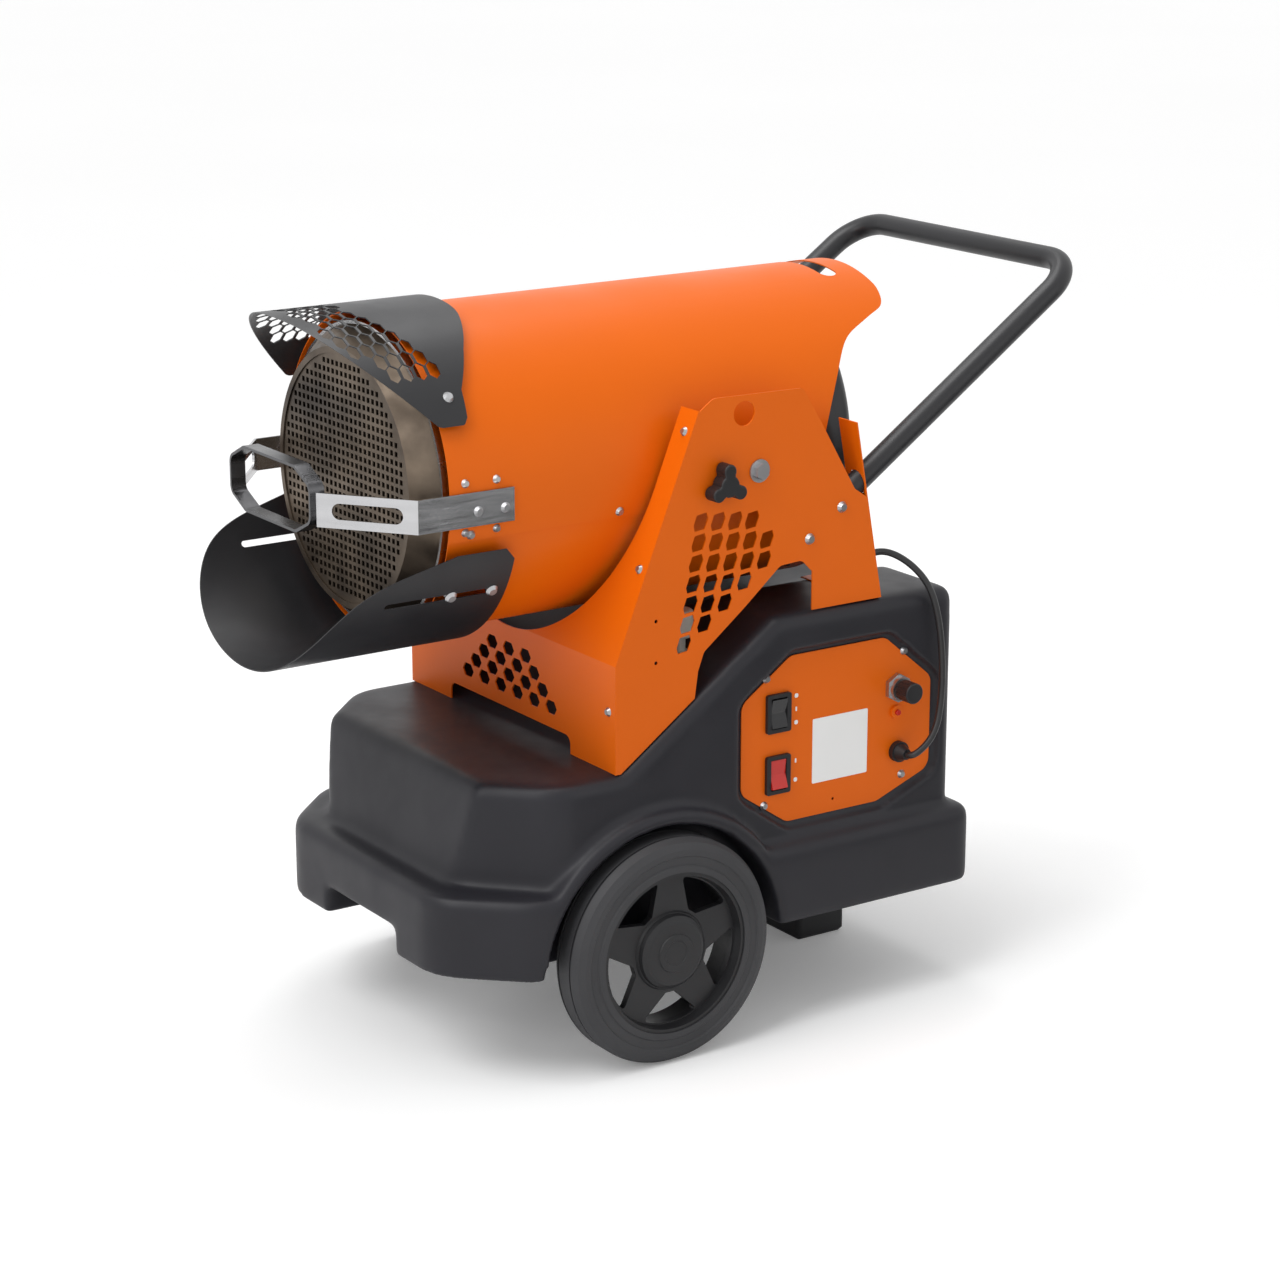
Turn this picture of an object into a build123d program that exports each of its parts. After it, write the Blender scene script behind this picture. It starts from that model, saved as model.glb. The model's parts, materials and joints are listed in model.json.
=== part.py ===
from build123d import *
import math
import os

# Infrared diesel heater on a two-wheeled fuel tank, in millimetres.
# +X is the control panel's side, -Y the front with the emitter, +Z up.
# Shapes are drawn with y measured from the wheel axle, and moved to the footprint's middle when saved.

# Wheels and axle
WHEEL_R = 150.0
TYRE_WIDTH = 60.0
TYRE_EDGE_R = 14.0
TYRE_OUTER_X = 300.0
RIM_R = 107.0
RIM_WALL = 5.0
RIM_WELL = 12.0
SPOKE_COUNT = 5
HUB_R = 38.0
CAP_R = 50.0
CAP_HEIGHT = 16.0
AXLE_R = 10.0
RUNNING_GAP = 0.05
SCREW_GAP = 0.1

# Tank base
SKIRT_HALF = 282.0
SKIRT_FRONT = 290.0
SKIRT_REAR = 500.0
SKIRT_BOTTOM = 142.0
LEDGE_Z = 250.0
NOSE_HALF = 185.0
NOSE_CORNER_Y = 190.0
HOOD_HALF = 262.0
HOOD_FRONT = 247.0
HOOD_RAKE = 24.0
HOOD_REAR = 475.0
HOOD_ROUND = 18.0
LEDGE_ROUND = 15.0
DECK_Z = 385.0
BLOCK_Z = 553.0
RAMP_START_Y = -52.0
RAMP_END_Y = 183.0
ARCH_R = 178.0
ARCH_Z = 134.0
ARCH_DEPTH = 46.0
FENDER_BAND = 20.0
TANK_WALL = 6.0
NOTCH_HALF = 88.0
NOTCH_TOP = 180.0
AXLE_TUNNEL_GAP = 0.5

# Rear foot
FOOT_HALF = 44.0
FOOT_Y = 426.0
FOOT_LENGTH = 82.0

# Barrel
AXIS_Z = 747.0
BARREL_R = 206.0
SHEET = 1.5
BARREL_FRONT = 265.0
BARREL_BOTTOM_REAR = 350.0
HOOD_TIP_Y = 460.0
SEAM_DEG = 13.0
LINER_R = 191.0
LINER_FRONT = 268.0
CHAMBER_R = 160.0
CHAMBER_REAR = 120.0
CONE_FRONT = 296.0
CONE_SMALL_R = 165.0
DISC_PITCH = 11.0
DISC_HOLE = 6.6
DISC_THICK = 2.0
HAND_SLOT_HALF = 62.0
HAND_SLOT_Y = 412.0
HAND_SLOT_WIDTH = 26.0
TILT_DEG = 5.0

# Visor and lower deflector
SHADE_R = 216.0
SHADE_SHEET = 1.5
VISOR_FRONT = 407.0
DEFLECTOR_FRONT = 445.0
DEFLECTOR_SLIDE = 80.0
GUIDE_SLOT = 9.0

# Cradle
CRADLE_HALF = 252.0
PLATE = 2.0
CRADLE_FRONT = 58.0
FOLD_Z = 525.0
HORN_TOP_Y = 66.0
HORN_TOP_Z = 833.0
SADDLE_R = 214.0
SADDLE_DROP = 12.0
REAR_BOTTOM_Y = 354.0
REAR_TOP_Y = 310.0
REAR_TOP_Z = 790.0
PIVOT_Y = 157.0
KNOB_Y = 98.0
KNOB_Z = 738.0
PIVOT_R = 6.0
KNOB_STUD_R = 4.0
SIGHT_HOLE_R = 16.0

# Rear handle
TUBE_R = 15.0
TUBE_WALL = 2.0
HANDLE_HALF = 235.0
HANDLE_BEND = 57.0
HANDLE_BAR_Y = 690.0
HANDLE_BAR_Z = 958.0
HANDLE_RISE_DEG = 34.5
HANDLE_FOOT_Y = 205.0

# Front straps and loop
VISOR_HOLE_PITCH = 41.0
VISOR_HOLE_ROW = 18.0
STRAP_HEIGHT = 42.0
STRAP_THICK = 3.0
STRAP_Z = 741.0
STRAP_REAR = 177.0
STRAP_BEND_Y = 310.0
LOOP_HALF = 104.0
LOOP_Y = 390.0
LOOP_DEPTH = 20.0

# Control panel
PANEL_RECESS = 10.0
PANEL_THICK = 2.0
PANEL_POCKET = 60.0
PANEL_MARGIN = 9.0
ROCKER_Y = 190.0
SELECTOR_Z = 424.0
MAINS_Z = 341.0
SOCKET_Y = 384.0
SOCKET_Z = 426.0
BUTTON_Z = 392.0
GLAND_Z = 337.0

# Filler
TROUGH_R = 229.0
PICKUP_X = 165.0
PICKUP_Y = 95.0
PICKUP_TOP = 515.0
FILLER_X = -150.0
FILLER_Y = 418.0
FILLER_R = 32.0

# Lead
LEAD_R = 4.5

MIDDLE_Y = (HANDLE_BAR_Y + TUBE_R - DEFLECTOR_FRONT) / 2
PANEL_X = HOOD_HALF - PANEL_RECESS
SIDE_X = CRADLE_HALF - PLATE


def block(x0, x1, y0, y1, z0, z1):
    """Box between two corners."""
    return Pos((x0 + x1) / 2, (y0 + y1) / 2, (z0 + z1) / 2) * Box(x1 - x0, y1 - y0, z1 - z0)


def rod_x(radius, x0, x1, y, z):
    """Cylinder along X."""
    return Pos((x0 + x1) / 2, y, z) * Rot(0, 90, 0) * Cylinder(radius, x1 - x0)


def rod_y(radius, y0, y1, x=0.0, z=AXIS_Z):
    """Cylinder along Y, on the barrel's axis unless told otherwise."""
    return Pos(x, (y0 + y1) / 2, z) * Rot(90, 0, 0) * Cylinder(radius, y1 - y0)


def rod_z(radius, z0, z1, x, y):
    """Cylinder along Z."""
    return Pos(x, y, (z0 + z1) / 2) * Cylinder(radius, z1 - z0)


def pipe_y(outer, inner, y0, y1):
    """Tube along the barrel's axis."""
    return rod_y(outer, y0, y1) - rod_y(inner, y0 - 1, y1 + 1)


def side_slab(points, x0, x1):
    """Polygon of (y, z) points, extruded from x0 to x1."""
    face = make_face(Polyline(*points, close=True))
    return extrude(Plane.YZ.offset(x0) * face, x1 - x0)


def front_plane(y):
    """Plane facing the front, with local x along X and local y along Z."""
    return Plane(origin=(0, y, 0), x_dir=(1, 0, 0), z_dir=(0, -1, 0))


def both_sides(solid):
    """A piece and its mirror image across the middle plane."""
    return [solid, mirror(solid, about=Plane.YZ)]


def group(solids):
    """Several separate solids under one name."""
    return Compound(children=list(solids))


def hexagon(cx, cy, half_wide, half_high, flat=0.55):
    """Wire of a hexagon whose tips point along the first axis."""
    tips = [(half_wide, 0), (half_wide * flat, half_high), (-half_wide * flat, half_high),
            (-half_wide, 0), (-half_wide * flat, -half_high), (half_wide * flat, -half_high)]
    return Wire.make_polygon([(cx + a, cy + b, 0) for a, b in tips], close=True)


# Tank base

def plan_outline(half, front, rear, nose_half, corner_y, nose_r, rear_r):
    """Footprint with a rounded nose, as a face at height zero."""
    points = [(-half, rear), (-half, -corner_y), (-nose_half, -front),
              (nose_half, -front), (half, -corner_y), (half, rear)]
    face = make_face(Polyline(*points, close=True))
    nose = [v for v in face.vertices() if v.Y < 0]
    tail = [v for v in face.vertices() if v.Y > 0]
    face = fillet(nose, nose_r)
    tail = [v for v in face.vertices() if v.Y > rear - 1]
    return fillet(tail, rear_r)


def skirt():
    """Low outer band with its ledge."""
    plan = plan_outline(SKIRT_HALF, SKIRT_FRONT, SKIRT_REAR, NOSE_HALF, NOSE_CORNER_Y, 80, 24)
    body = extrude(Pos(0, 0, SKIRT_BOTTOM) * plan, LEDGE_Z - SKIRT_BOTTOM)
    top = body.edges().filter_by(lambda e: e.center().Z > LEDGE_Z - 0.01)
    body = fillet(top, LEDGE_ROUND)
    bottom = body.edges().filter_by(lambda e: e.center().Z < SKIRT_BOTTOM + 0.01)
    return fillet(bottom, 4)


def hood():
    """Tank above the ledge: nose deck, ramp and rear block."""
    inset = SKIRT_HALF - HOOD_HALF
    plan = plan_outline(HOOD_HALF, HOOD_FRONT, HOOD_REAR, NOSE_HALF - inset, NOSE_CORNER_Y - 2 * inset, 70, 20)
    tall = extrude(Pos(0, 0, SKIRT_BOTTOM) * plan, BLOCK_Z - SKIRT_BOTTOM)
    rake_foot = HOOD_FRONT + 1
    profile = [(-rake_foot, SKIRT_BOTTOM), (-rake_foot, LEDGE_Z), (-HOOD_FRONT + HOOD_RAKE, DECK_Z),
               (RAMP_START_Y, DECK_Z), (RAMP_END_Y, BLOCK_Z), (HOOD_REAR, BLOCK_Z),
               (HOOD_REAR, SKIRT_BOTTOM)]
    body = tall & side_slab(profile, -HOOD_HALF - 1, HOOD_HALF + 1)
    upper = [e for e in body.edges() if e.center().Z > DECK_Z - 0.5 and not is_ramp_crease(e)]
    return fillet(upper, HOOD_ROUND)


def is_ramp_crease(edge):
    """True for the two straight creases that cross the tank at the ramp's ends."""
    box = edge.bounding_box()
    return box.size.X > HOOD_HALF and box.size.Y < 1 and box.max.Y < HOOD_REAR - 60 and box.min.Y > -HOOD_FRONT / 2


def arch_cut(x0, x1):
    """Space for one wheel."""
    round_top = rod_x(ARCH_R, x0, x1, 0, ARCH_Z)
    return round_top + block(x0, x1, -ARCH_R, ARCH_R, SKIRT_BOTTOM - 20, ARCH_Z)


def tank_base():
    """The moulded tank that is also the heater's base."""
    fender = rod_x(ARCH_R + FENDER_BAND, -SKIRT_HALF, SKIRT_HALF, 0, ARCH_Z)
    rims = fender.edges().filter_by(GeomType.CIRCLE)
    fender = fillet(rims, 9) - block(-400, 400, -400, 400, -400, LEDGE_Z - 20)
    body = skirt() + hood() + fender
    inner_x = TYRE_OUTER_X - TYRE_WIDTH - 14
    for side in (1, -1):
        x0, x1 = sorted((side * inner_x, side * 400))
        body -= arch_cut(x0, x1)
    body -= tank_hollow()
    body -= block(-NOTCH_HALF, NOTCH_HALF, -400, -SKIRT_FRONT + 60, 0, NOTCH_TOP)
    body -= rod_x(AXLE_R + AXLE_TUNNEL_GAP, -400, 400, 0, WHEEL_R)
    body -= block(-400, 400, -AXLE_R - AXLE_TUNNEL_GAP, AXLE_R + AXLE_TUNNEL_GAP, 0, WHEEL_R)
    body -= panel_cut()
    body -= rod_z(FILLER_R - 6, BLOCK_Z - 60, BLOCK_Z + 60, FILLER_X, FILLER_Y)
    return body


def ramp_z(y):
    """Height of the tank's ramp at y."""
    share = (y - RAMP_START_Y) / (RAMP_END_Y - RAMP_START_Y)
    return DECK_Z + share * (BLOCK_Z - DECK_Z)


def tank_hollow():
    """Fuel space, clear of the wheel arches, the axle and the panel's pocket."""
    low, front = SKIRT_BOTTOM + 28, -HOOD_FRONT + HOOD_RAKE + TANK_WALL + 2
    high = BLOCK_Z - 2 * TANK_WALL
    profile = [(front, low), (front, DECK_Z - 2 * TANK_WALL), (RAMP_START_Y, DECK_Z - 2 * TANK_WALL),
               (RAMP_END_Y + TANK_WALL, high), (HOOD_REAR - TANK_WALL, high), (HOOD_REAR - TANK_WALL, low)]
    half = PANEL_X - PANEL_POCKET - TANK_WALL
    side = block(-HOOD_HALF + 2 * TANK_WALL, -half + 1, ARCH_R + 12, HOOD_REAR - 2 * TANK_WALL, LEDGE_Z + 6, high - 18)
    return side_slab(profile, -half, half) + side - trough(TANK_WALL)


def trough(grow=0.0):
    """Hollow along the block's top that lets the barrel's rear swing down."""
    return rod_y(TROUGH_R + grow, RAMP_START_Y + 60, HOOD_REAR + 40)


# Control panel

def panel_points(grow=0.0):
    """Corners of the eight-sided panel as (y, z)."""
    low, high, front, rear = 273 - grow, 497 + grow, 133 - grow, 442 + grow
    slant = grow * 0.4
    return [(206 - slant, low), (354 + slant, low), (rear, 306 - slant), (rear, 432 + slant),
            (364 + slant, high), (210 - slant, high), (front, 443 + slant), (front, 322 - slant)]


def panel_slab(grow, x0, x1, corner_r):
    """The panel's outline with rounded corners, from x0 to x1."""
    face = make_face(Polyline(*panel_points(grow), close=True))
    face = fillet(face.vertices(), corner_r)
    return extrude(Plane.YZ.offset(x0) * face, x1 - x0)


def panel_cut():
    """Recess for the panel and the pocket behind it."""
    recess = panel_slab(PANEL_MARGIN, PANEL_X - PANEL_THICK, HOOD_HALF + 60, 26)
    pocket = panel_slab(-16, PANEL_X - PANEL_POCKET, PANEL_X, 12)
    return recess + pocket


def panel_holes():
    """Everything that passes through the panel."""
    x0, x1 = PANEL_X - 20, PANEL_X + 20
    cuts = [block(x0, x1, ROCKER_Y - 15.1, ROCKER_Y + 15.1, z - 22.1, z + 22.1) for z in (SELECTOR_Z, MAINS_Z)]
    cuts.append(rod_x(13, x0, x1, SOCKET_Y, SOCKET_Z))
    cuts.append(rod_x(5, x0, x1, SOCKET_Y, BUTTON_Z))
    cuts.append(rod_x(8, x0, x1, SOCKET_Y + 4, GLAND_Z))
    cuts += [rod_x(2.6, x0, x1, y, z) for y, z in PANEL_SCREWS]
    cuts.append(rod_x(2, x0, x1, 282, 290))
    return cuts


PANEL_SCREWS = [(172, 472), (396, 474), (396, 303), (170, 301)]


def control_panel():
    """Orange sheet plate that carries the switches."""
    plate = panel_slab(0, PANEL_X - PANEL_THICK, PANEL_X, 20)
    for cut in panel_holes():
        plate -= cut
    return plate


def screw(point, outward, head_r=6.0, head_h=3.5, shank_r=2.5, shank=10.0):
    """Domed screw whose head's underside is at the point, facing outward."""
    low = (Align.CENTER, Align.CENTER, Align.MIN)
    high = (Align.CENTER, Align.CENTER, Align.MAX)
    here = Plane(origin=point, z_dir=outward)
    return here * (Cone(head_r, head_r * 0.6, head_h, align=low) + Cylinder(shank_r, shank, align=high))


def drill(plate, places, radius=2.5, depth=40.0):
    """Plate with a round hole at each place, square to the place's outward direction."""
    for point, outward in places:
        plate -= Plane(origin=point, z_dir=outward) * Cylinder(radius + SCREW_GAP, depth)
    return plate


def revolve_y(points):
    """Ring from (radius, y) points, turned about the barrel's axis."""
    face = Pos(0, 0, AXIS_Z) * make_face(Polyline(*points, close=True))
    return revolve(face, axis=Axis((0, 0, AXIS_Z), (0, 1, 0)))


def radial(angle_deg):
    """Direction out of the barrel at an angle above the +X side."""
    a = math.radians(angle_deg)
    return (math.cos(a), 0.0, math.sin(a))


def on_barrel(radius, angle_deg, y):
    """Point at a radius from the barrel's axis."""
    out = radial(angle_deg)
    return (radius * out[0], y, AXIS_Z + radius * out[2])


# Wheels

def tyre():
    """Rubber tyre of the wheel on the +X side."""
    half = TYRE_WIDTH / 2
    grooves = []
    for centre in (13.0, -13.0):
        grooves += [(centre + 1.5, WHEEL_R), (centre + 1.5, WHEEL_R - 3), (centre - 1.5, WHEEL_R - 3),
                    (centre - 1.5, WHEEL_R)]
    shoulder = TYRE_EDGE_R
    profile = [(half, RIM_R), (half, RIM_R + 8), (half - 2, RIM_R + 10), (half - 2, RIM_R + 20),
               (half, RIM_R + 22), (half - 1, WHEEL_R - shoulder), (half - 5, WHEEL_R - 5),
               (half - shoulder, WHEEL_R)]
    profile += grooves
    profile += [(-x, r) for x, r in reversed(profile[:8])]
    return wheel_turned(profile)


def wheel_turned(profile):
    """Solid of (x, radius) points turned about the axle, x measured from the wheel's middle."""
    face = make_face(Polyline(*[(x + wheel_middle(), r) for x, r in profile], close=True))
    return Pos(0, 0, WHEEL_R) * revolve(face, axis=Axis.X)


def wheel_middle():
    """Distance of the wheel's middle plane from the heater's."""
    return TYRE_OUTER_X - TYRE_WIDTH / 2


def spoke_window(turn):
    """One opening between two spokes, cut right through."""
    inner, outer = CAP_R + 7, RIM_R - RIM_WALL - 5
    def at(r, deg):
        a = math.radians(deg + turn)
        return (r * math.cos(a), r * math.sin(a))
    edges = [Line(at(inner, -7), at(outer, -25)), ThreePointArc(at(outer, -25), at(outer, 0), at(outer, 25)),
             Line(at(outer, 25), at(inner, 7)), Line(at(inner, 7), at(inner, -7))]
    face = fillet(make_face(edges).vertices(), 4)
    middle = wheel_middle()
    return Pos(0, 0, WHEEL_R) * extrude(Plane.YZ.offset(middle - 40) * face, 80)


def rim():
    """Plastic rim with five flat spokes set back from its edge."""
    half = TYRE_WIDTH / 2 - 2
    web = half - RIM_WELL
    outline = [(half, RIM_R), (half, RIM_R - RIM_WALL), (web, RIM_R - RIM_WALL - 3), (web, CAP_R + 3),
               (web + 3, CAP_R + 1), (web + 3, HUB_R), (web - 2, HUB_R), (web - 2, AXLE_R + RUNNING_GAP),
               (-half - 2, AXLE_R + RUNNING_GAP), (-half - 2, AXLE_R + 16), (web - 10, AXLE_R + 16),
               (web - 10, RIM_R - RIM_WALL - 3), (-half, RIM_R - RIM_WALL), (-half, RIM_R)]
    solid = wheel_turned(outline)
    for k in range(SPOKE_COUNT):
        solid -= spoke_window(90 + 36 + k * 360 / SPOKE_COUNT)
    return solid


def hub_cap():
    """Round cap over the axle's end, with a raised centre."""
    seat = TYRE_WIDTH / 2 - 2 - RIM_WELL + 3
    top = seat + CAP_HEIGHT - 6
    profile = [(seat, HUB_R - 4), (seat, CAP_R), (top - 5, CAP_R - 2), (top - 1, CAP_R - 7), (top, CAP_R - 10),
               (top, 26), (top + 1.5, 25), (top + 1.5, 17), (top + 0.5, 16), (top + 0.5, 0), (top - 3, 0),
               (top - 3, HUB_R - 4)]
    return wheel_turned(profile)


def wheel_set():
    """Tyre, rim and cap for each side."""
    makers = {"tyre": tyre, "wheel_rim": rim, "hub_cap": hub_cap}
    for name, maker in makers.items():
        right, left = both_sides(maker())
        PARTS[f"{name}_right"] = right
        PARTS[f"{name}_left"] = left


def axle_end():
    """Distance of the axle's end from the middle plane."""
    return wheel_middle() + TYRE_WIDTH / 2 - 2 - RIM_WELL + 5


def axle_parts():
    """Axle with its spacers, clamps and end clips."""
    end = axle_end()
    PARTS["axle"] = rod_x(AXLE_R, -end, end, 0, WHEEL_R)
    face = wheel_middle() + TYRE_WIDTH / 2 - 2 - RIM_WELL - 2
    clip = rod_x(AXLE_R + 6, face + 0.3, face + 2.3, 0, WHEEL_R) - rod_x(AXLE_R, 0, 400, 0, WHEEL_R)
    inner = wheel_middle() - TYRE_WIDTH / 2 - 0.3
    wall = TYRE_OUTER_X - TYRE_WIDTH - 14
    spacer = rod_x(AXLE_R + 8, wall, inner, 0, WHEEL_R) - rod_x(AXLE_R, 0, end, 0, WHEEL_R)
    PARTS["axle_collars"] = group([*both_sides(clip), *both_sides(spacer)])
    under = SKIRT_BOTTOM
    clamp = block(90, 120, -34, 34, under - 5, under) - rod_x(AXLE_R, 0, 200, 0, WHEEL_R)
    PARTS["axle_clamps"] = group(both_sides(clamp))


def rear_foot():
    """Black foot under the tank's rear that levels the heater with its wheels."""
    half = FOOT_LENGTH / 2
    leg = block(-FOOT_HALF, FOOT_HALF, FOOT_Y - half, FOOT_Y + half, 0, SKIRT_BOTTOM)
    leg = fillet(leg.edges().filter_by(Axis.Z), 8)
    leg = chamfer(leg.edges().filter_by(lambda e: e.center().Z < 0.01), 5)
    core = block(-FOOT_HALF + 7, FOOT_HALF - 7, FOOT_Y - half + 7, FOOT_Y + half - 7, 12, SKIRT_BOTTOM)
    return leg - core


# Filler, fuel pick-up and filter

def filler_neck():
    """Neck that stands in the tank's top."""
    inner = FILLER_R - 9
    neck = rod_z(FILLER_R - 6, BLOCK_Z - 32, BLOCK_Z + 19, FILLER_X, FILLER_Y)
    flange = rod_z(FILLER_R + 6, BLOCK_Z, BLOCK_Z + 3, FILLER_X, FILLER_Y)
    return neck + flange - rod_z(inner, BLOCK_Z - 40, BLOCK_Z + 40, FILLER_X, FILLER_Y)


def fuel_cap():
    """Ribbed screw cap over the neck."""
    low, high = BLOCK_Z + 3.3, BLOCK_Z + 26
    cap = rod_z(FILLER_R + 2, low, high, FILLER_X, FILLER_Y)
    cap = fillet(cap.edges().filter_by(lambda e: e.center().Z > high - 0.01), 3)
    cap -= rod_z(FILLER_R - 5.7, low - 1, BLOCK_Z + 19.3, FILLER_X, FILLER_Y)
    for k in range(18):
        a = math.radians(k * 20)
        x, y = FILLER_X + (FILLER_R + 3) * math.cos(a), FILLER_Y + (FILLER_R + 3) * math.sin(a)
        cap -= rod_z(2.2, low - 1, high + 1, x, y)
    return cap


def fuel_pickup():
    """Fitting in the ramp with its suction pipe into the tank."""
    seat = ramp_z(PICKUP_Y)
    body = rod_z(12, seat - 22, PICKUP_TOP - 12, PICKUP_X, PICKUP_Y)
    pipe = rod_z(4, SKIRT_BOTTOM + 60, PICKUP_TOP, PICKUP_X, PICKUP_Y)
    return body + pipe


def fuel_filter():
    """Filter bowl that stands on the pick-up."""
    bowl = rod_z(19, PICKUP_TOP + 6, PICKUP_TOP + 42, PICKUP_X, PICKUP_Y)
    bowl = fillet(bowl.edges().filter_by(GeomType.CIRCLE), 4)
    nut = rod_z(9, PICKUP_TOP - 12, PICKUP_TOP + 8, PICKUP_X, PICKUP_Y)
    return bowl + nut - rod_z(4, PICKUP_TOP - 13, PICKUP_TOP, PICKUP_X, PICKUP_Y)


# Cradle

def rear_plate_y(z):
    """Front face of the sloping rear plate at height z."""
    share = (z - BLOCK_Z) / (REAR_TOP_Z - BLOCK_Z)
    return REAR_BOTTOM_Y + share * (REAR_TOP_Y - REAR_BOTTOM_Y)


def front_slope_y(z):
    """Back face of the sloping part of the front plate at height z."""
    share = (z - FOLD_Z) / (HORN_TOP_Z - FOLD_Z)
    return -CRADLE_FRONT + share * (HORN_TOP_Y + CRADLE_FRONT)


def slope_normal(run, rise):
    """Unit vector square to a plate that climbs by rise over run, pointing to the front."""
    length = math.hypot(run, rise)
    return (0.0, -rise / length, run / length)


FRONT_OUT = slope_normal(HORN_TOP_Y + CRADLE_FRONT, HORN_TOP_Z - FOLD_Z)
REAR_LEAN = math.hypot(REAR_TOP_Y - REAR_BOTTOM_Y, REAR_TOP_Z - BLOCK_Z)
REAR_OUT = (0.0, (REAR_TOP_Z - BLOCK_Z) / REAR_LEAN, (REAR_BOTTOM_Y - REAR_TOP_Y) / REAR_LEAN)


def front_screw_places():
    """Screws that join the front plate to the side plates' flanges, on the +X side."""
    x = CRADLE_HALF - 16
    places = [((x, -CRADLE_FRONT - PLATE, 464.0), (0.0, -1.0, 0.0))]
    for z in (640.0, 806.0):
        y = front_slope_y(z)
        point = (x, y + FRONT_OUT[1] * PLATE, z + FRONT_OUT[2] * PLATE)
        places.append((point, FRONT_OUT))
    return places


def rear_screw_places():
    """Screws that join the rear plate to the side plates' flanges, on the +X side."""
    x = CRADLE_HALF - 13
    places = []
    for z in (575.0, 665.0):
        y = rear_plate_y(z)
        point = (x, y + REAR_OUT[1] * PLATE, z + REAR_OUT[2] * PLATE)
        places.append((point, REAR_OUT))
    return places


def mirrored(places):
    """The same places on both sides of the heater."""
    return places + [((-p[0], p[1], p[2]), (-d[0], d[1], d[2])) for p, d in places]


def arc_slot(centre_y, centre_z, radius, mid_deg, half_deg, half_width, x0, x1):
    """Curved slot through a side plate, about a pivot."""
    cuts = None
    steps = 6
    for k in range(-steps, steps + 1):
        a = math.radians(mid_deg + half_deg * k / steps)
        hole = rod_x(half_width, x0, x1, centre_y + radius * math.cos(a), centre_z + radius * math.sin(a))
        cuts = hole if cuts is None else cuts + hole
    return cuts


def slanted_hole(y, z):
    """Wire of one leaning six-sided vent hole in the side plate."""
    corners = [(-11, -4), (-6, 9), (9, 11), (11.5, 3), (6, -10), (-9, -11.5)]
    return Wire.make_polygon([(y + a, z + b, 0) for a, b in corners], close=True)


def side_vents():
    """Rows of leaning holes that narrow towards the bottom."""
    rows = [(68, 693, 4), (65, 667, 5), (61, 641, 5), (57, 615, 4), (53, 589, 3), (48, 564, 2), (43, 539, 1)]
    wires = []
    for y, z, count in rows:
        for k in range(count):
            wires.append(slanted_hole(y + 26.2 * k, z - 2.6 * k))
    return wires


def side_plate():
    """Side plate of the cradle on the +X side, with its flanges."""
    low_rear = rear_plate_y(691)
    outline = [(-CRADLE_FRONT, DECK_Z), (RAMP_START_Y, DECK_Z), (60, ramp_z(60)), (65, 500), (74, 524),
               (137, 573), (192, 619), (226, 621), (243, 604), (243, BLOCK_Z), (REAR_BOTTOM_Y, BLOCK_Z),
               (low_rear, 691), (309, 704), (256, 794), (224, 845), (86, 847), (HORN_TOP_Y, HORN_TOP_Z),
               (-CRADLE_FRONT, FOLD_Z)]
    face = make_face(Polyline(*outline, close=True))
    corner = {(86, 847): 16, (224, 845): 10, (226, 621): 12, (192, 619): 12, (74, 524): 12, (309, 704): 8}
    for (y, z), r in corner.items():
        vertex = face.vertices().sort_by_distance((y, z, 0))[0]
        face = fillet(vertex, r)
    face = Face(face.face().outer_wire(), side_vents())
    plate = extrude(Plane.YZ.offset(SIDE_X) * face, PLATE)
    x0, x1 = SIDE_X - 10, CRADLE_HALF + 10
    plate -= rod_x(PIVOT_R + SCREW_GAP, x0, x1, PIVOT_Y, AXIS_Z)
    reach = math.hypot(KNOB_Y - PIVOT_Y, KNOB_Z - AXIS_Z)
    lean = math.degrees(math.atan2(KNOB_Z - AXIS_Z, KNOB_Y - PIVOT_Y))
    plate -= arc_slot(PIVOT_Y, AXIS_Z, reach, lean, TILT_DEG + 0.6, KNOB_STUD_R + 0.6, x0, x1)
    plate -= rod_x(SIGHT_HOLE_R, x0, x1, 133, 823)
    for z in (521, 575):
        plate -= rod_x(2.5, x0, x1, 1, z)
    plate += front_flange() + rear_flange()
    plate = drill(plate, front_screw_places())
    plate = drill(plate, rear_screw_places())
    return drill(plate, handle_screw_places(), 3)


def front_flange():
    """Strip folded behind the front plate."""
    inner_x = SIDE_X - 26
    back = PLATE
    points = [(-CRADLE_FRONT, 400), (-CRADLE_FRONT + back, 400), (-CRADLE_FRONT + back, FOLD_Z - 0.4),
              (HORN_TOP_Y - FRONT_OUT[1] * back, HORN_TOP_Z - FRONT_OUT[2] * back),
              (HORN_TOP_Y, HORN_TOP_Z), (-CRADLE_FRONT, FOLD_Z)]
    return side_slab(points, inner_x, SIDE_X)


def rear_flange():
    """Strip folded in front of the rear plate."""
    top = 690
    low = BLOCK_Z + PLATE
    points = [(rear_plate_y(low), low), (rear_plate_y(low) - PLATE, low), (rear_plate_y(top) - PLATE, top),
              (rear_plate_y(top), top)]
    return side_slab(points, SIDE_X - 22, SIDE_X)


def saddle_cut(y0, y1):
    """Space for the barrel in a cradle plate, with room to tilt."""
    axis = AXIS_Z - SADDLE_DROP
    return rod_y(SADDLE_R, y0, y1, 0, axis) + block(-SADDLE_R, SADDLE_R, y0, y1, axis, AXIS_Z + 200)


def front_vents():
    """Flattened six-sided holes in the middle of the front plate, wider towards the bottom."""
    cuts = []
    plane = front_plane(-CRADLE_FRONT)
    for row, count in enumerate((3, 4, 5, 6)):
        z = 490 - 18 * row
        for k in range(count):
            x = 41 * (k - (count - 1) / 2)
            cuts.append(extrude(plane * Face(hexagon(x, z, 14, 9)), 12, both=True))
    return cuts


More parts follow.
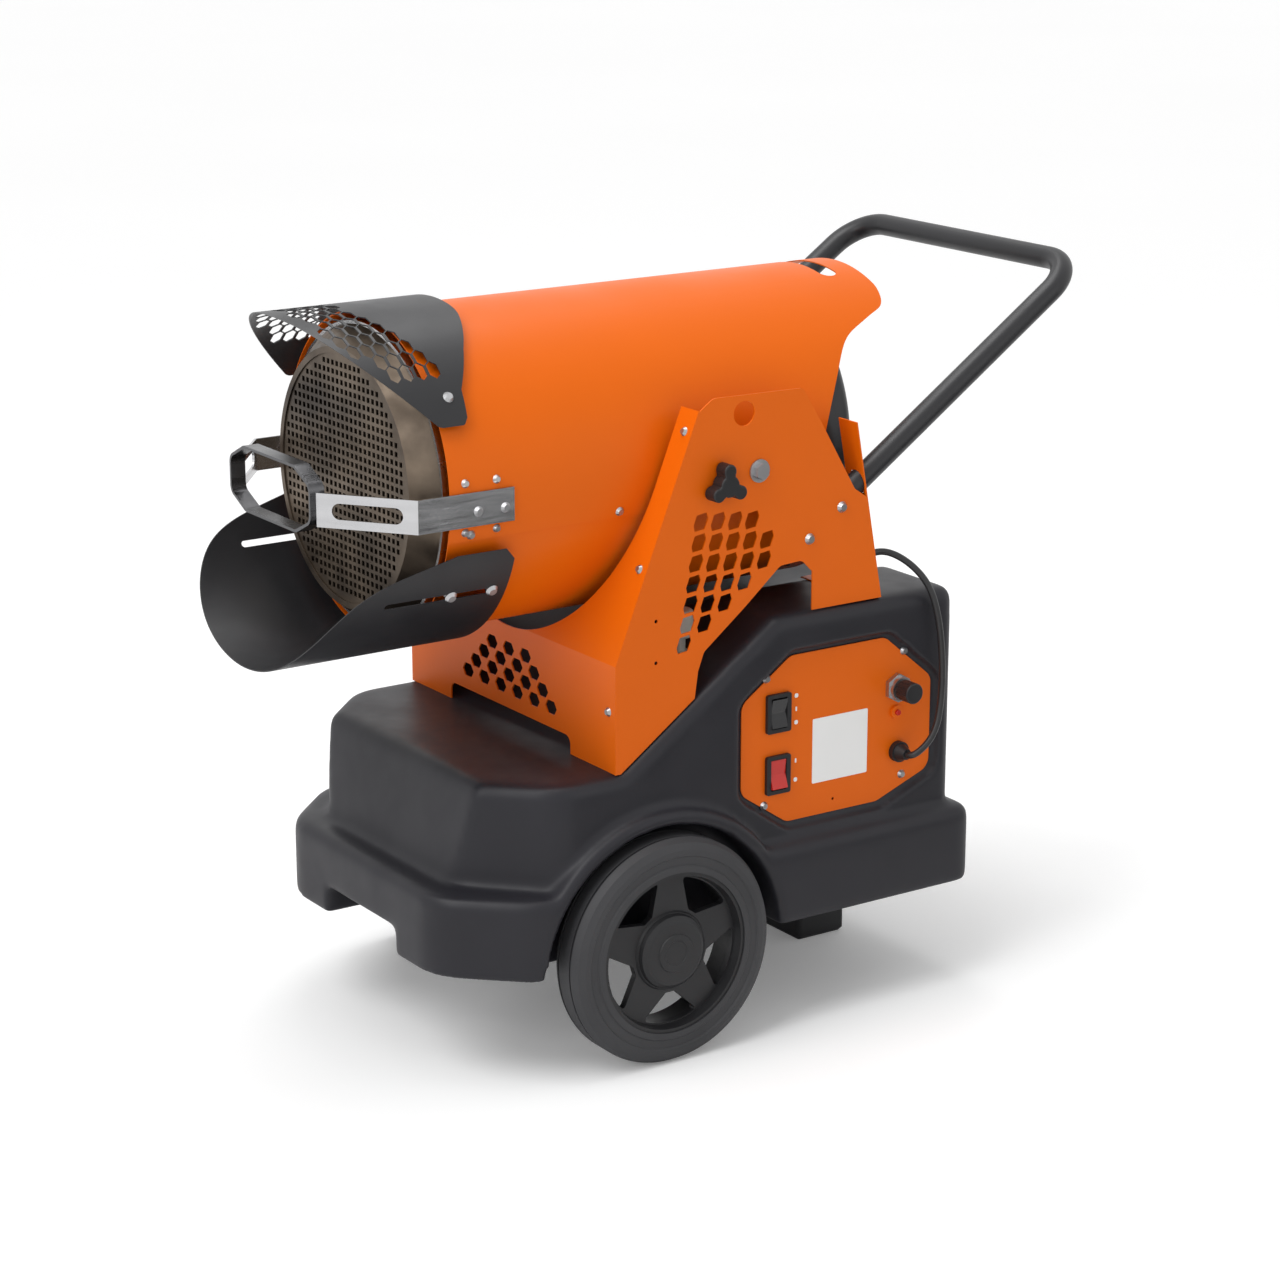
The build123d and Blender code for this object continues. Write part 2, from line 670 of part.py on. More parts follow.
def cradle_front():
    """Front plate: upright below, then sloping back along both sides of the barrel."""
    outer = [(HORN_TOP_Y + FRONT_OUT[1] * PLATE, HORN_TOP_Z + FRONT_OUT[2] * PLATE),
             (-CRADLE_FRONT - PLATE, FOLD_Z + 0.4), (-CRADLE_FRONT - PLATE, DECK_Z)]
    points = [(-CRADLE_FRONT, DECK_Z), (-CRADLE_FRONT, FOLD_Z), (HORN_TOP_Y, HORN_TOP_Z)] + outer
    plate = side_slab(points, -CRADLE_HALF, CRADLE_HALF) - saddle_cut(-200, 200)
    notch = Pos(0, -CRADLE_FRONT, DECK_Z) * Box(296, 20, 48)
    notch = fillet(notch.edges().filter_by(Axis.Y), 12)
    plate -= notch
    for cut in front_vents():
        plate -= cut
    return drill(plate, mirrored(front_screw_places()))


def cradle_rear():
    """Rear plate that leans forward and rises in a horn on each side of the barrel."""
    out = [(REAR_TOP_Y + REAR_OUT[1] * PLATE, REAR_TOP_Z + REAR_OUT[2] * PLATE),
           (REAR_BOTTOM_Y + PLATE, BLOCK_Z)]
    points = [(REAR_BOTTOM_Y, BLOCK_Z), (REAR_TOP_Y, REAR_TOP_Z)] + out
    foot = block(-SIDE_X, SIDE_X, REAR_BOTTOM_Y - 26, REAR_BOTTOM_Y + 1, BLOCK_Z, BLOCK_Z + PLATE)
    plate = side_slab(points, -CRADLE_HALF, CRADLE_HALF) + foot - saddle_cut(200, 450)
    for side in (1, -1):
        leg = Plane(origin=handle_point(0), z_dir=handle_direction()) * Cylinder(TUBE_R + 0.4, 900)
        plate -= leg if side > 0 else mirror(leg, about=Plane.YZ)
    plate = drill(plate, mirrored(rear_screw_places()))
    return drill(plate, [(UPPER_GLAND, REAR_OUT)], 8)


def cradle_screws():
    """All screws that hold the cradle's plates together."""
    places = mirrored(front_screw_places()) + mirrored(rear_screw_places())
    return group([screw(p, d, shank=5) for p, d in places])


def pivot_bolt():
    """Shouldered bolt and washer that the barrel tilts on."""
    washer = rod_x(15, CRADLE_HALF, CRADLE_HALF + 2, PIVOT_Y, AXIS_Z)
    hexagonal = Pos(CRADLE_HALF + 2, PIVOT_Y, AXIS_Z) * Rot(0, 90, 0) * extrude(RegularPolygon(10.5, 6), 7)
    shaft = rod_x(PIVOT_R, 216, CRADLE_HALF + 1, PIVOT_Y, AXIS_Z)
    return washer + hexagonal + shaft


def tilt_block():
    """Block on the barrel's side that carries the pivot bolt and the clamping stud."""
    body = block(180, SIDE_X - 0.3, KNOB_Y - 20, PIVOT_Y + 22, AXIS_Z - 28, AXIS_Z + 22)
    body = fillet(body.edges().filter_by(Axis.X), 8)
    body -= rod_y(BARREL_R, KNOB_Y - 60, PIVOT_Y + 60)
    body -= rod_x(PIVOT_R + RUNNING_GAP, 150, 300, PIVOT_Y, AXIS_Z)
    return body - rod_x(KNOB_STUD_R + RUNNING_GAP, 150, 300, KNOB_Y, KNOB_Z)


def tilt_knob():
    """Three-lobed clamping knob with its stud."""
    low = CRADLE_HALF + 2.6
    middle = Pos(low, KNOB_Y, KNOB_Z) * Rot(0, 90, 0)
    grip = Cylinder(14, 20, align=(Align.CENTER, Align.CENTER, Align.MIN))
    for k in range(3):
        lobe = Rot(0, 0, 180 + 120 * k) * Pos(19, 0, 0) * Cylinder(9, 20, align=(Align.CENTER, Align.CENTER, Align.MIN))
        web = Rot(0, 0, 180 + 120 * k) * Pos(10, 0, 10) * Box(20, 16, 20)
        grip += lobe + web
    grip = fillet(grip.edges().filter_by(lambda e: e.center().Z > 19.9), 2.5)
    knob = middle * grip
    collar = rod_x(9, CRADLE_HALF + 0.3, low, KNOB_Y, KNOB_Z)
    return knob + collar + rod_x(KNOB_STUD_R, 214, low + 1, KNOB_Y, KNOB_Z)


# Rear handle

def handle_direction():
    """Unit vector up along the handle's legs."""
    a = math.radians(HANDLE_RISE_DEG)
    return (0.0, math.cos(a), math.sin(a))


def handle_point(back):
    """Point on the +X leg's centre line, a distance back down from the cross bar."""
    d = handle_direction()
    return (HANDLE_HALF, HANDLE_BAR_Y - back * d[1], HANDLE_BAR_Z - back * d[2])


def handle_length():
    """Length of a leg from the cross bar's line down to its foot."""
    return (HANDLE_BAR_Y - HANDLE_FOOT_Y) / handle_direction()[1]


def handle_screw_places():
    """Screws through the side plate into the leg, on the +X side."""
    places = []
    for y in (238.0, 289.0):
        back = (HANDLE_BAR_Y - y) / handle_direction()[1]
        point = handle_point(back)
        places.append(((CRADLE_HALF, point[1], point[2]), (1.0, 0.0, 0.0)))
    return places


def handle():
    """Bent tube with a cross bar and two legs."""
    d = handle_direction()
    plane = Plane(origin=(0, HANDLE_BAR_Y, HANDLE_BAR_Z), x_dir=(1, 0, 0), z_dir=(0, -d[2], d[1]))
    w, r, foot = HANDLE_HALF, HANDLE_BEND, -handle_length()
    path = FilletPolyline((-w, foot), (-w, 0), (w, 0), (w, foot), radius=r)
    start = Plane(origin=(-w, foot, 0), z_dir=(0, 1, 0))
    outer = sweep(start * Circle(TUBE_R), path=path)
    inner = sweep(start * Circle(TUBE_R - TUBE_WALL), path=path)
    tube = plane * (outer - inner)
    return drill(tube, mirrored(handle_screw_places()), 3, 70)


def handle_screws():
    """Four screws that hold the legs."""
    return group([screw(p, d, 7.5, 4.5, 3, 14) for p, d in mirrored(handle_screw_places())])


# Barrel

def scoop():
    """Space cut from the barrel's rear edge, seen from the side and cut right across."""
    curve = Spline((HOOD_TIP_Y + 1, 946), (457, 924), (446, 911), (428, 904), (398, 894), (364, 879), (336, 848), (304, 790), (291, 742),
                   (300, 680), (328, 615), (BARREL_BOTTOM_REAR, 560))
    rest = Polyline((BARREL_BOTTOM_REAR, 560), (BARREL_BOTTOM_REAR, 500), (600, 500), (600, 946),
                    (HOOD_TIP_Y + 1, 946))
    face = make_face([curve, rest])
    return extrude(Plane.YZ.offset(-260) * face, 520)


def casing_tube(outer, y1):
    """Rolled sheet of the barrel's casing."""
    tube = pipe_y(outer, outer - SHEET, -BARREL_FRONT, y1)
    return tube - scoop()


def seam_z():
    """Height of the seam between the casing's two sheets."""
    return AXIS_Z - BARREL_R * math.sin(math.radians(SEAM_DEG))


def casing_screw_places():
    """Screws along the seam, at the crown and in the sight hole's line."""
    places = []
    for y in (-235.0, -20.0):
        places.append((on_barrel(BARREL_R, -SEAM_DEG + 2.2, y), radial(-SEAM_DEG + 2.2)))
    lift = math.degrees(math.asin((823 - AXIS_Z) / BARREL_R))
    places.append((on_barrel(BARREL_R, lift, 133.0), radial(lift)))
    return mirrored(places)


def casing_upper():
    """Upper sheet, with the hood over the rear and its hand slot."""
    shell = casing_tube(BARREL_R, HOOD_TIP_Y) - block(-300, 300, -400, 600, 400, seam_z())
    slot = extrude(Pos(0, HAND_SLOT_Y, AXIS_Z) * SlotOverall(2 * HAND_SLOT_HALF, HAND_SLOT_WIDTH), 300)
    shell -= slot
    shell = drill(shell, casing_screw_places(), 2.5, 16)
    shell = drill(shell, mirrored(bracket_screw_places()), 2.5, 16)
    shell = drill(shell, mirrored(strap_screw_places()), 2.5, 16)
    return drill(shell, mirrored(visor_places()), 2.5, 36)


def casing_lower():
    """Lower sheet, lapped inside the upper one."""
    outer = BARREL_R - SHEET - 0.1
    shell = pipe_y(outer, outer - SHEET, -BARREL_FRONT, BARREL_BOTTOM_REAR) - scoop()
    shell -= block(-300, 300, -400, 600, seam_z() + 14, 1200)
    shell = drill(shell, casing_screw_places() + mirrored(bracket_screw_places()), 2.5, 20)
    return drill(shell, mirrored(deflector_post_places()), 4, 16)


def casing_screws():
    """Screws of the casing."""
    top = [((0.0, 70.0, AXIS_Z + BARREL_R), (0.0, 0.0, 1.0))]
    return group([screw(p, d, shank=8) for p, d in casing_screw_places()])


def liner():
    """Inner tube whose rolled edge shows as a bright ring."""
    tube = pipe_y(LINER_R, LINER_R - 1.2, -LINER_FRONT, 180)
    bead = revolve_y([(LINER_R - 1.2, -LINER_FRONT), (LINER_R + 3, -LINER_FRONT), (LINER_R + 3, -LINER_FRONT + 4),
                      (LINER_R - 1.2, -LINER_FRONT + 4)])
    return tube + bead


def liner_spacers():
    """Short blocks that centre the liner in the casing."""
    blocks = []
    for y in (-150.0, 110.0):
        ring_low = pipe_y(BARREL_R - 2 * SHEET - 0.2, LINER_R, y - 12, y + 12)
        ring_high = pipe_y(BARREL_R - SHEET, LINER_R, y - 12, y + 12)
        for angle in (35, 90, 145, 215, 270, 325):
            ring = ring_high if angle < 180 else ring_low
            prism = Plane(origin=(0, y, AXIS_Z), z_dir=radial(angle)) * Box(20, 20, 230, align=(Align.CENTER, Align.CENTER, Align.MIN))
            blocks.append(ring & prism)
    return group(blocks)


def emitter_ring():
    """Conical steel ring round the emitter."""
    seat = LINER_R - 1.4
    return revolve_y([(seat, -LINER_FRONT + 8), (seat, -LINER_FRONT), (CONE_SMALL_R, -CONE_FRONT - 2),
                      (CONE_SMALL_R - 8, -CONE_FRONT - 2), (CONE_SMALL_R - 8, -CONE_FRONT - 0.5),
                      (CONE_SMALL_R - 0.7, -CONE_FRONT - 0.5), (seat - 1.5, -LINER_FRONT + 0.6),
                      (seat - 1.5, -LINER_FRONT + 8)])


def emitter_disc():
    """Glowing plate with its grid of square holes."""
    outer = CONE_SMALL_R - 3
    hole = DISC_HOLE / 2
    reach = int(outer / DISC_PITCH) + 1
    wires = []
    for i in range(-reach, reach + 1):
        for k in range(-reach, reach + 1):
            x, z = i * DISC_PITCH, k * DISC_PITCH
            if math.hypot(x, z) < outer - 11:
                corners = [(x - hole, z - hole, 0), (x + hole, z - hole, 0), (x + hole, z + hole, 0), (x - hole, z + hole, 0)]
                wires.append(Wire.make_polygon(corners, close=True))
    face = Face(Wire.make_circle(outer), wires)
    plane = Plane(origin=(0, -CONE_FRONT + DISC_THICK, AXIS_Z), x_dir=(1, 0, 0), z_dir=(0, -1, 0))
    return extrude(plane * face, DISC_THICK)


def chamber():
    """Combustion chamber behind the emitter."""
    tube = pipe_y(CHAMBER_R, CHAMBER_R - 1.5, -CONE_FRONT + DISC_THICK, CHAMBER_REAR)
    back = pipe_y(CHAMBER_R - 0.5, FLAME_TUBE_R + 0.5, CHAMBER_REAR - 2, CHAMBER_REAR)
    return tube + back


FLAME_TUBE_R = 55.0
BULKHEAD_Y = 178.0
HOUSING_R = 110.0
HOUSING_REAR = 250.0
SHAFT_R = 7.0
MOTOR_R = 58.0


def bulkhead():
    """Round plate that closes the liner and carries the burner."""
    plate = pipe_y(LINER_R - 1.3, FLAME_TUBE_R - 2, BULKHEAD_Y, BULKHEAD_Y + 2)
    return plate - rod_y(4, BULKHEAD_Y - 5, BULKHEAD_Y + 5, 128, AXIS_Z)


def flame_tube():
    """Burner tube from the bulkhead into the chamber."""
    tube = pipe_y(FLAME_TUBE_R, FLAME_TUBE_R - 2, 60, BULKHEAD_Y)
    flange = pipe_y(FLAME_TUBE_R + 12, FLAME_TUBE_R - 2, BULKHEAD_Y - 3, BULKHEAD_Y)
    return tube + flange - rod_x(4, 20, 80, 150, AXIS_Z)


def air_diffuser():
    """Slotted disc round the nozzle."""
    disc = pipe_y(FLAME_TUBE_R - 2, 7, 74, 76)
    for k in range(8):
        a = math.radians(22.5 + 45 * k)
        slot = Pos(32 * math.cos(a), 75, AXIS_Z + 32 * math.sin(a)) * Rot(0, -22.5 - 45 * k, 0) * Box(26, 8, 4)
        disc -= slot
    for x in (-16, 16):
        disc -= rod_y(2.5, 70, 80, x, AXIS_Z + 14)
    return disc


def nozzle():
    """Fuel nozzle on its holder."""
    tip = rod_y(7, 68, 100)
    holder = block(-8, 8, 100, 160, AXIS_Z - 8, AXIS_Z + 8)
    return tip + holder


def electrodes():
    """Pair of ignition electrodes beside the nozzle."""
    return group([rod_y(2.5, 64, BULKHEAD_Y, x, AXIS_Z + 14) for x in (-16, 16)])


def fan_housing():
    """Sheet drum round the fan, open in the middle at both ends."""
    drum = pipe_y(HOUSING_R, HOUSING_R - 1.5, BULKHEAD_Y + 2, HOUSING_REAR)
    rear = pipe_y(HOUSING_R, MOTOR_R + 14, HOUSING_REAR - 2, HOUSING_REAR)
    return drum + rear


def motor_mount():
    """Three-armed bracket between the fan housing and the motor."""
    ring = pipe_y(MOTOR_R, SHAFT_R + 12, HOUSING_REAR + 4, HOUSING_REAR + 8)
    for k in range(3):
        angle = 90 + 120 * k
        arm = Plane(origin=(0, HOUSING_REAR + 6, AXIS_Z), z_dir=radial(angle)) * Pos(0, 0, 68) * Box(18, 18, 60)
        slab = block(-200, 200, HOUSING_REAR + 4, HOUSING_REAR + 8, AXIS_Z - 200, AXIS_Z + 200)
        ring += arm & slab
        out = radial(angle)
        foot = rod_y(6, HOUSING_REAR, HOUSING_REAR + 5, 90 * out[0], AXIS_Z + 90 * out[2])
        ring += foot
    return ring


def fan_motor():
    """Electric motor behind the fan."""
    body = rod_y(MOTOR_R - 8, HOUSING_REAR + 8, 322)
    body = fillet(body.edges().filter_by(GeomType.CIRCLE), 5)
    for k in range(12):
        out = radial(15 + 30 * k)
        place = Plane(origin=(0, 289, AXIS_Z), z_dir=out) * Pos(0, 0, MOTOR_R - 8)
        body += place * Box(3, 44, 8)
    return body - rod_y(SHAFT_R + RUNNING_GAP, HOUSING_REAR, 310)


def fan_wheel():
    """Fan with its shaft, hub and curved row of blades."""
    shaft = rod_y(SHAFT_R, 190, 306)
    hub = rod_y(26, 190, 238)
    back = rod_y(96, 234, 237)
    wheel = shaft + hub + back
    for k in range(18):
        angle = 20 * k
        out = radial(angle)
        place = Plane(origin=(82 * out[0], 192, AXIS_Z + 82 * out[2]), x_dir=out, z_dir=(0, 1, 0))
        wheel += place * Rot(0, 0, 35) * Box(24, 2, 43, align=(Align.CENTER, Align.CENTER, Align.MIN))
    return wheel


def fuel_pump():
    """Pump on the motor's rear."""
    body = rod_y(20, 322, 342)
    port = block(20, 30, 328, 340, AXIS_Z - 7, AXIS_Z + 7)
    return body + port + block(14, 22, 328, 340, AXIS_Z - 7, AXIS_Z + 7)


def fuel_pipe():
    """Copper pipe from the pump, round the fan housing, to the nozzle."""
    points = [(30, 334, AXIS_Z), (128, 334, AXIS_Z), (128, 150, AXIS_Z), (8, 150, AXIS_Z)]
    path = FilletPolyline(*points, radius=16)
    return sweep(Plane(origin=points[0], z_dir=(1, 0, 0)) * Circle(3), path=path)


def transformer():
    """Ignition transformer on the bulkhead."""
    body = block(-42, 42, BULKHEAD_Y + 2, 238, AXIS_Z + 116, AXIS_Z + 164)
    return fillet(body.edges(), 3)


def rear_cover():
    """Black dished cover with air slots in rings."""
    r, y1 = BARREL_R - 2 * SHEET - 0.4, BARREL_BOTTOM_REAR
    cup = rod_y(r, 286, y1)
    cup = fillet(cup.edges().filter_by(lambda e: e.center().Y > y1 - 0.01), 22)
    core = rod_y(r - 1.5, 280, y1 - 1.5)
    cup -= fillet(core.edges().filter_by(lambda e: e.center().Y > y1 - 1.6), 20.5)
    for ring_r, count in ((60, 8), (90, 12), (120, 16), (150, 20)):
        for k in range(count):
            angle = 360 * (k + 0.5) / count
            cup -= slot_box(ring_r, angle, count, y1)
    return cup


def slot_box(ring_r, angle, count, y):
    """One air slot, tangential to its ring."""
    out = radial(angle)
    length = 2 * math.pi * ring_r / count - 10
    here = Plane(origin=(ring_r * out[0], y, AXIS_Z + ring_r * out[2]), x_dir=(-out[2], 0, out[0]), z_dir=(0, 1, 0))
    return here * Box(length, 8, 14)


# Front shades

def visor_places():
    """Screws of the visor, on the +X side."""
    return [(on_barrel(SHADE_R, 36, -247.0), radial(36))]


def visor():
    """Upper shade with its band of holes."""
    tube = pipe_y(SHADE_R, SHADE_R - SHADE_SHEET, -VISOR_FRONT - 5, -160)
    outline = [(-236, 842), (-270, 842), (-386, 955), (-401, 966), (-VISOR_FRONT, 1000), (-166, 1000), (-166, 955),
               (-198, 920), (-226, 880), (-230, 850)]
    face = make_face(Polyline(*outline, close=True))
    for (y, z), r in {(-236, 842): 5, (-270, 842): 12, (-386, 955): 20, (-166, 955): 14}.items():
        face = fillet(face.vertices().sort_by_distance((y, z, 0))[0], r)
    sheet = tube & extrude(Plane.YZ.offset(-260) * face, 520)
    for y, angle in visor_holes():
        prism = Plane(origin=on_barrel(SHADE_R, angle, y), x_dir=(-radial(angle)[2], 0, radial(angle)[0]), z_dir=radial(angle))
        sheet -= extrude(prism * Face(hexagon(0, 0, 13, 7.2)), 8, both=True)
    return drill(sheet, mirrored(visor_places()), 2.5, 20)


def visor_holes():
    """Centres of the visor's honeycomb as (y, angle), a band behind its slanted front edge."""
    holes = []
    step = math.degrees(VISOR_HOLE_PITCH / 2 / SHADE_R)
    for column in range(-8, 9):
        angle = 90 + column * step
        height = AXIS_Z + SHADE_R * math.sin(math.radians(angle))
        edge = max(-390.0, -270 - 1.03 * (height - 842))
        for row in range(14):
            y = -396 + VISOR_HOLE_ROW * (row + (column % 2) / 2)
            if edge + 17 < y < min(edge + 92, -196):
                holes.append((y, angle))
    return holes


def visor_fixings():
    """Screws with spacers between the visor and the casing."""
    pieces = []
    for point, out in mirrored(visor_places()):
        spacer_height = SHADE_R - SHADE_SHEET - BARREL_R - 0.15
        here = Plane(origin=point, z_dir=out)
        low = (Align.CENTER, Align.CENTER, Align.MIN)
        spacer = Pos(0, 0, BARREL_R - SHADE_R) * Cylinder(6, spacer_height, align=low)
        pieces.append(screw(point, out, 7, 4, 2.5, 18) + here * spacer)
    return group(pieces)


DEFLECTOR_R = 219.5
POST_YS = (-197.0, -255.0)
POST_DEG = -32.0


def deflector_post_places():
    """Guide posts of the lower deflector, on the +X side."""
    return [(on_barrel(BARREL_R - SHEET, POST_DEG, y), radial(POST_DEG)) for y in POST_YS]


def lower_deflector():
    """Lower shade that slides back on its guide posts."""
    tube = pipe_y(DEFLECTOR_R, DEFLECTOR_R - SHADE_SHEET, -DEFLECTOR_FRONT, -170)
    curve = Spline((-258, 687), (-325, 669), (-387, 640), (-424, 590), (-440, 545), (-DEFLECTOR_FRONT, 500))
    rest = Polyline((-DEFLECTOR_FRONT, 500), (-176, 500), (-176, 672), (-190, 687), (-258, 687))
    sheet = tube & extrude(Plane.YZ.offset(-260) * make_face([curve, rest]), 520)
    slot_rear, slot_front = POST_YS[0] + 6, POST_YS[1] - DEFLECTOR_SLIDE - 12
    for side in (1, -1):
        angle = POST_DEG if side > 0 else 180 - POST_DEG
        out = radial(angle)
        here = Plane(origin=on_barrel(DEFLECTOR_R, angle, (slot_rear + slot_front) / 2), x_dir=(0, 1, 0), z_dir=out)
        sheet -= here * extrude(SlotOverall(slot_rear - slot_front, GUIDE_SLOT), 10, both=True)
    return sheet


def deflector_posts():
    """Shouldered posts that the deflector slides on."""
    pieces = []
    low = (Align.CENTER, Align.CENTER, Align.MIN)
    gap = DEFLECTOR_R - SHADE_SHEET - BARREL_R
    for point, out in mirrored(deflector_post_places()):
        here = Plane(origin=point, z_dir=out)
        pin = Pos(0, 0, -4) * Cylinder(4, 4 + SHEET + gap + SHADE_SHEET + 0.8, align=low)
        shoulder = Cylinder(7, SHEET + gap - 0.4, align=low)
        head = Pos(0, 0, SHEET + gap + SHADE_SHEET + 0.4) * Cone(8, 5, 4, align=low)
        pieces.append(here * (pin + shoulder + head))
    return group(pieces)


# Straps and front loop

def strap_screw_places():
    """Two screws that hold the strap, on the +X side."""
    return [((BARREL_R + 0.2 + STRAP_THICK, y, STRAP_Z - 3), (1.0, 0.0, 0.0)) for y in (-228.0, -190.0)]


def bracket_screw_places():
    """Four screws above and below the strap, on the +X side."""
    places = []
    for y in (-243.0, -199.0):
        for rise in (26.0, -35.0):
            angle = math.degrees(math.asin(rise / BARREL_R))
            places.append((on_barrel(BARREL_R, angle, y), radial(angle)))
    return places


def strap():
    """Flat steel strap from the barrel's side to the front loop, on the +X side."""
    x0, x1 = BARREL_R + 0.2, BARREL_R + 0.2 + STRAP_THICK
    run, reach = x0 - (LOOP_HALF + 1), LOOP_Y - STRAP_BEND_Y - 2
    length = math.hypot(run, reach)
    ox, oy = STRAP_THICK * reach / length, -STRAP_THICK * run / length
    inner_bend = (x0, -STRAP_BEND_Y)
    inner_end = (LOOP_HALF + 1, -STRAP_BEND_Y - reach)
    slope = reach / run
    outer_bend_y = -STRAP_BEND_Y + oy + (ox - STRAP_THICK) * -slope
    outer_end_y = inner_end[1] + oy - ox * slope
    points = [(x1, -STRAP_REAR), (x0, -STRAP_REAR), inner_bend, inner_end, (LOOP_HALF + 1, outer_end_y),
              (x1, outer_bend_y)]
    low = STRAP_Z - STRAP_HEIGHT / 2
    body = extrude(Pos(0, 0, low) * make_face(Polyline(*points, close=True)), STRAP_HEIGHT)
    middle = ((inner_bend[0] + inner_end[0]) / 2, (inner_bend[1] + inner_end[1]) / 2, STRAP_Z)
    here = Plane(origin=middle, x_dir=(-run / length, -reach / length, 0), z_dir=(ox / STRAP_THICK, oy / STRAP_THICK, 0))
    body -= here * extrude(SlotOverall(92, 20), 12, both=True)
    return drill(body, strap_screw_places(), 2.5, 16)


def strap_screws():
    """Every screw of the straps and their inner brackets."""
    strap_set = [screw(p, d, 6.5, 4, 2.5, 9) for p, d in mirrored(strap_screw_places())]
    bracket_set = [screw(p, d, 5.5, 3.5, 2.5, 5) for p, d in mirrored(bracket_screw_places())]
    return group(strap_set + bracket_set)


def front_loop():
    """Flat eight-sided hoop between the straps."""
    half, slope = LOOP_HALF + 1, 39
    top, bottom, rise = 790, 706, 19
    def outline(inset):
        k = inset * 0.6
        pts = [(-half + slope + k, top - inset), (half - slope - k, top - inset), (half - inset, top - rise - k),
               (half - inset, bottom + rise + k), (half - slope - k, bottom + inset),
               (-half + slope + k, bottom + inset), (-half + inset, bottom + rise + k),
               (-half + inset, top - rise - k)]
        face = make_face(Polyline(*pts, close=True))
        return fillet(face.vertices(), 14 - inset * 0.7)
    ring = outline(0) - outline(3.5)
    plane = front_plane(-LOOP_Y + LOOP_DEPTH / 2)
    return extrude(plane * ring, LOOP_DEPTH)


# Switches, sockets and glands on the panel

BEZEL_Y, BEZEL_Z = 19.0, 26.0
KEY_Y, KEY_Z = 12.0, 19.0


def switch_body(z):
    """Bezel and housing of a rocker switch."""
    frame = block(PANEL_X, PANEL_X + 5, ROCKER_Y - BEZEL_Y, ROCKER_Y + BEZEL_Y, z - BEZEL_Z, z + BEZEL_Z)
    frame = fillet(frame.edges().filter_by(Axis.X), 3)
    rear = block(PANEL_X - 32, PANEL_X, ROCKER_Y - 14.9, ROCKER_Y + 14.9, z - 21.9, z + 21.9)
    space = block(PANEL_X - 18, PANEL_X + 10, ROCKER_Y - KEY_Y - 0.4, ROCKER_Y + KEY_Y + 0.4, z - KEY_Z - 1.7, z + KEY_Z + 1.7)
    body = frame + rear - space
    pins = rod_y(1.5, ROCKER_Y - KEY_Y - 2.2, ROCKER_Y + KEY_Y + 2.2, PANEL_X - 2, z)
    return body - rod_y(1.5 + RUNNING_GAP, ROCKER_Y - KEY_Y - 2.4, ROCKER_Y + KEY_Y + 2.4, PANEL_X - 2, z)


def rocker_key(z, tip_deg):
    """Rocker that tips about its pins."""
    h = KEY_Z
    points = [(-9, -h * 0.55), (5, -h), (8.5, -h), (4.5, 0), (8.5, h), (5, h), (-9, h * 0.55)]
    face = make_face(Polyline(*points, close=True))
    key = extrude(Plane(origin=(0, ROCKER_Y + KEY_Y, 0), x_dir=(1, 0, 0), z_dir=(0, -1, 0)) * face, 2 * KEY_Y)
    pins = rod_y(1.5, ROCKER_Y - KEY_Y - 2.2, ROCKER_Y + KEY_Y + 2.2, 0, 0)
    return Pos(PANEL_X - 2, 0, z) * Rot(0, tip_deg, 0) * (key + pins)


def thermostat_socket():
    """Metal socket with its hexagonal nut."""
    nut = Pos(PANEL_X, SOCKET_Y, SOCKET_Z) * Rot(0, 90, 0) * extrude(RegularPolygon(20, 6), 7)
    collar = rod_x(16, PANEL_X, PANEL_X + 14, SOCKET_Y, SOCKET_Z)
    tail = rod_x(13, PANEL_X - 26, PANEL_X + 1, SOCKET_Y, SOCKET_Z)
    return nut + collar + tail - rod_x(10.4, PANEL_X - 12, PANEL_X + 20, SOCKET_Y, SOCKET_Z)


def thermostat_plug():
    """Black plug that fills the socket, with a ribbed grip."""
    grip = rod_x(14, PANEL_X + 14.3, PANEL_X + 40, SOCKET_Y, SOCKET_Z)
    grip = fillet(grip.edges().filter_by(GeomType.CIRCLE), 2)
    for k in range(12):
        a = math.radians(30 * k)
        grip -= rod_x(1.6, PANEL_X + 18, PANEL_X + 36, SOCKET_Y + 15 * math.cos(a), SOCKET_Z + 15 * math.sin(a))
    return grip + rod_x(10, PANEL_X - 10, PANEL_X + 15, SOCKET_Y, SOCKET_Z)


def button_sleeve():
    """Collar of the reset button."""
    collar = rod_x(9, PANEL_X, PANEL_X + 4, SOCKET_Y, BUTTON_Z) + rod_x(5, PANEL_X - 14, PANEL_X + 1, SOCKET_Y, BUTTON_Z)
    return collar - rod_x(3.8 + RUNNING_GAP, PANEL_X - 10, PANEL_X + 10, SOCKET_Y, BUTTON_Z)


def reset_button():
    """Round reset button that can be pressed in."""
    stem = rod_x(3.8, PANEL_X - 5, PANEL_X + 8, SOCKET_Y, BUTTON_Z)
    return fillet(stem.edges().filter_by(lambda e: e.center().X > PANEL_X + 7.9), 1.2)


def panel_gland():
    """Gland where the burner lead leaves the panel."""
    y, z, x = SOCKET_Y + 4, GLAND_Z, PANEL_X
    body = rod_x(14, x, x + 8, y, z) + rod_x(8, x - 12, x + 1, y, z)
    dome = Pos(x + 8, y, z) * Rot(0, 90, 0) * Cone(12, 7, 14, align=(Align.CENTER, Align.CENTER, Align.MIN))
    return body + dome


UPPER_GLAND = (228.0, rear_plate_y(604.0) + PLATE, 604.0)


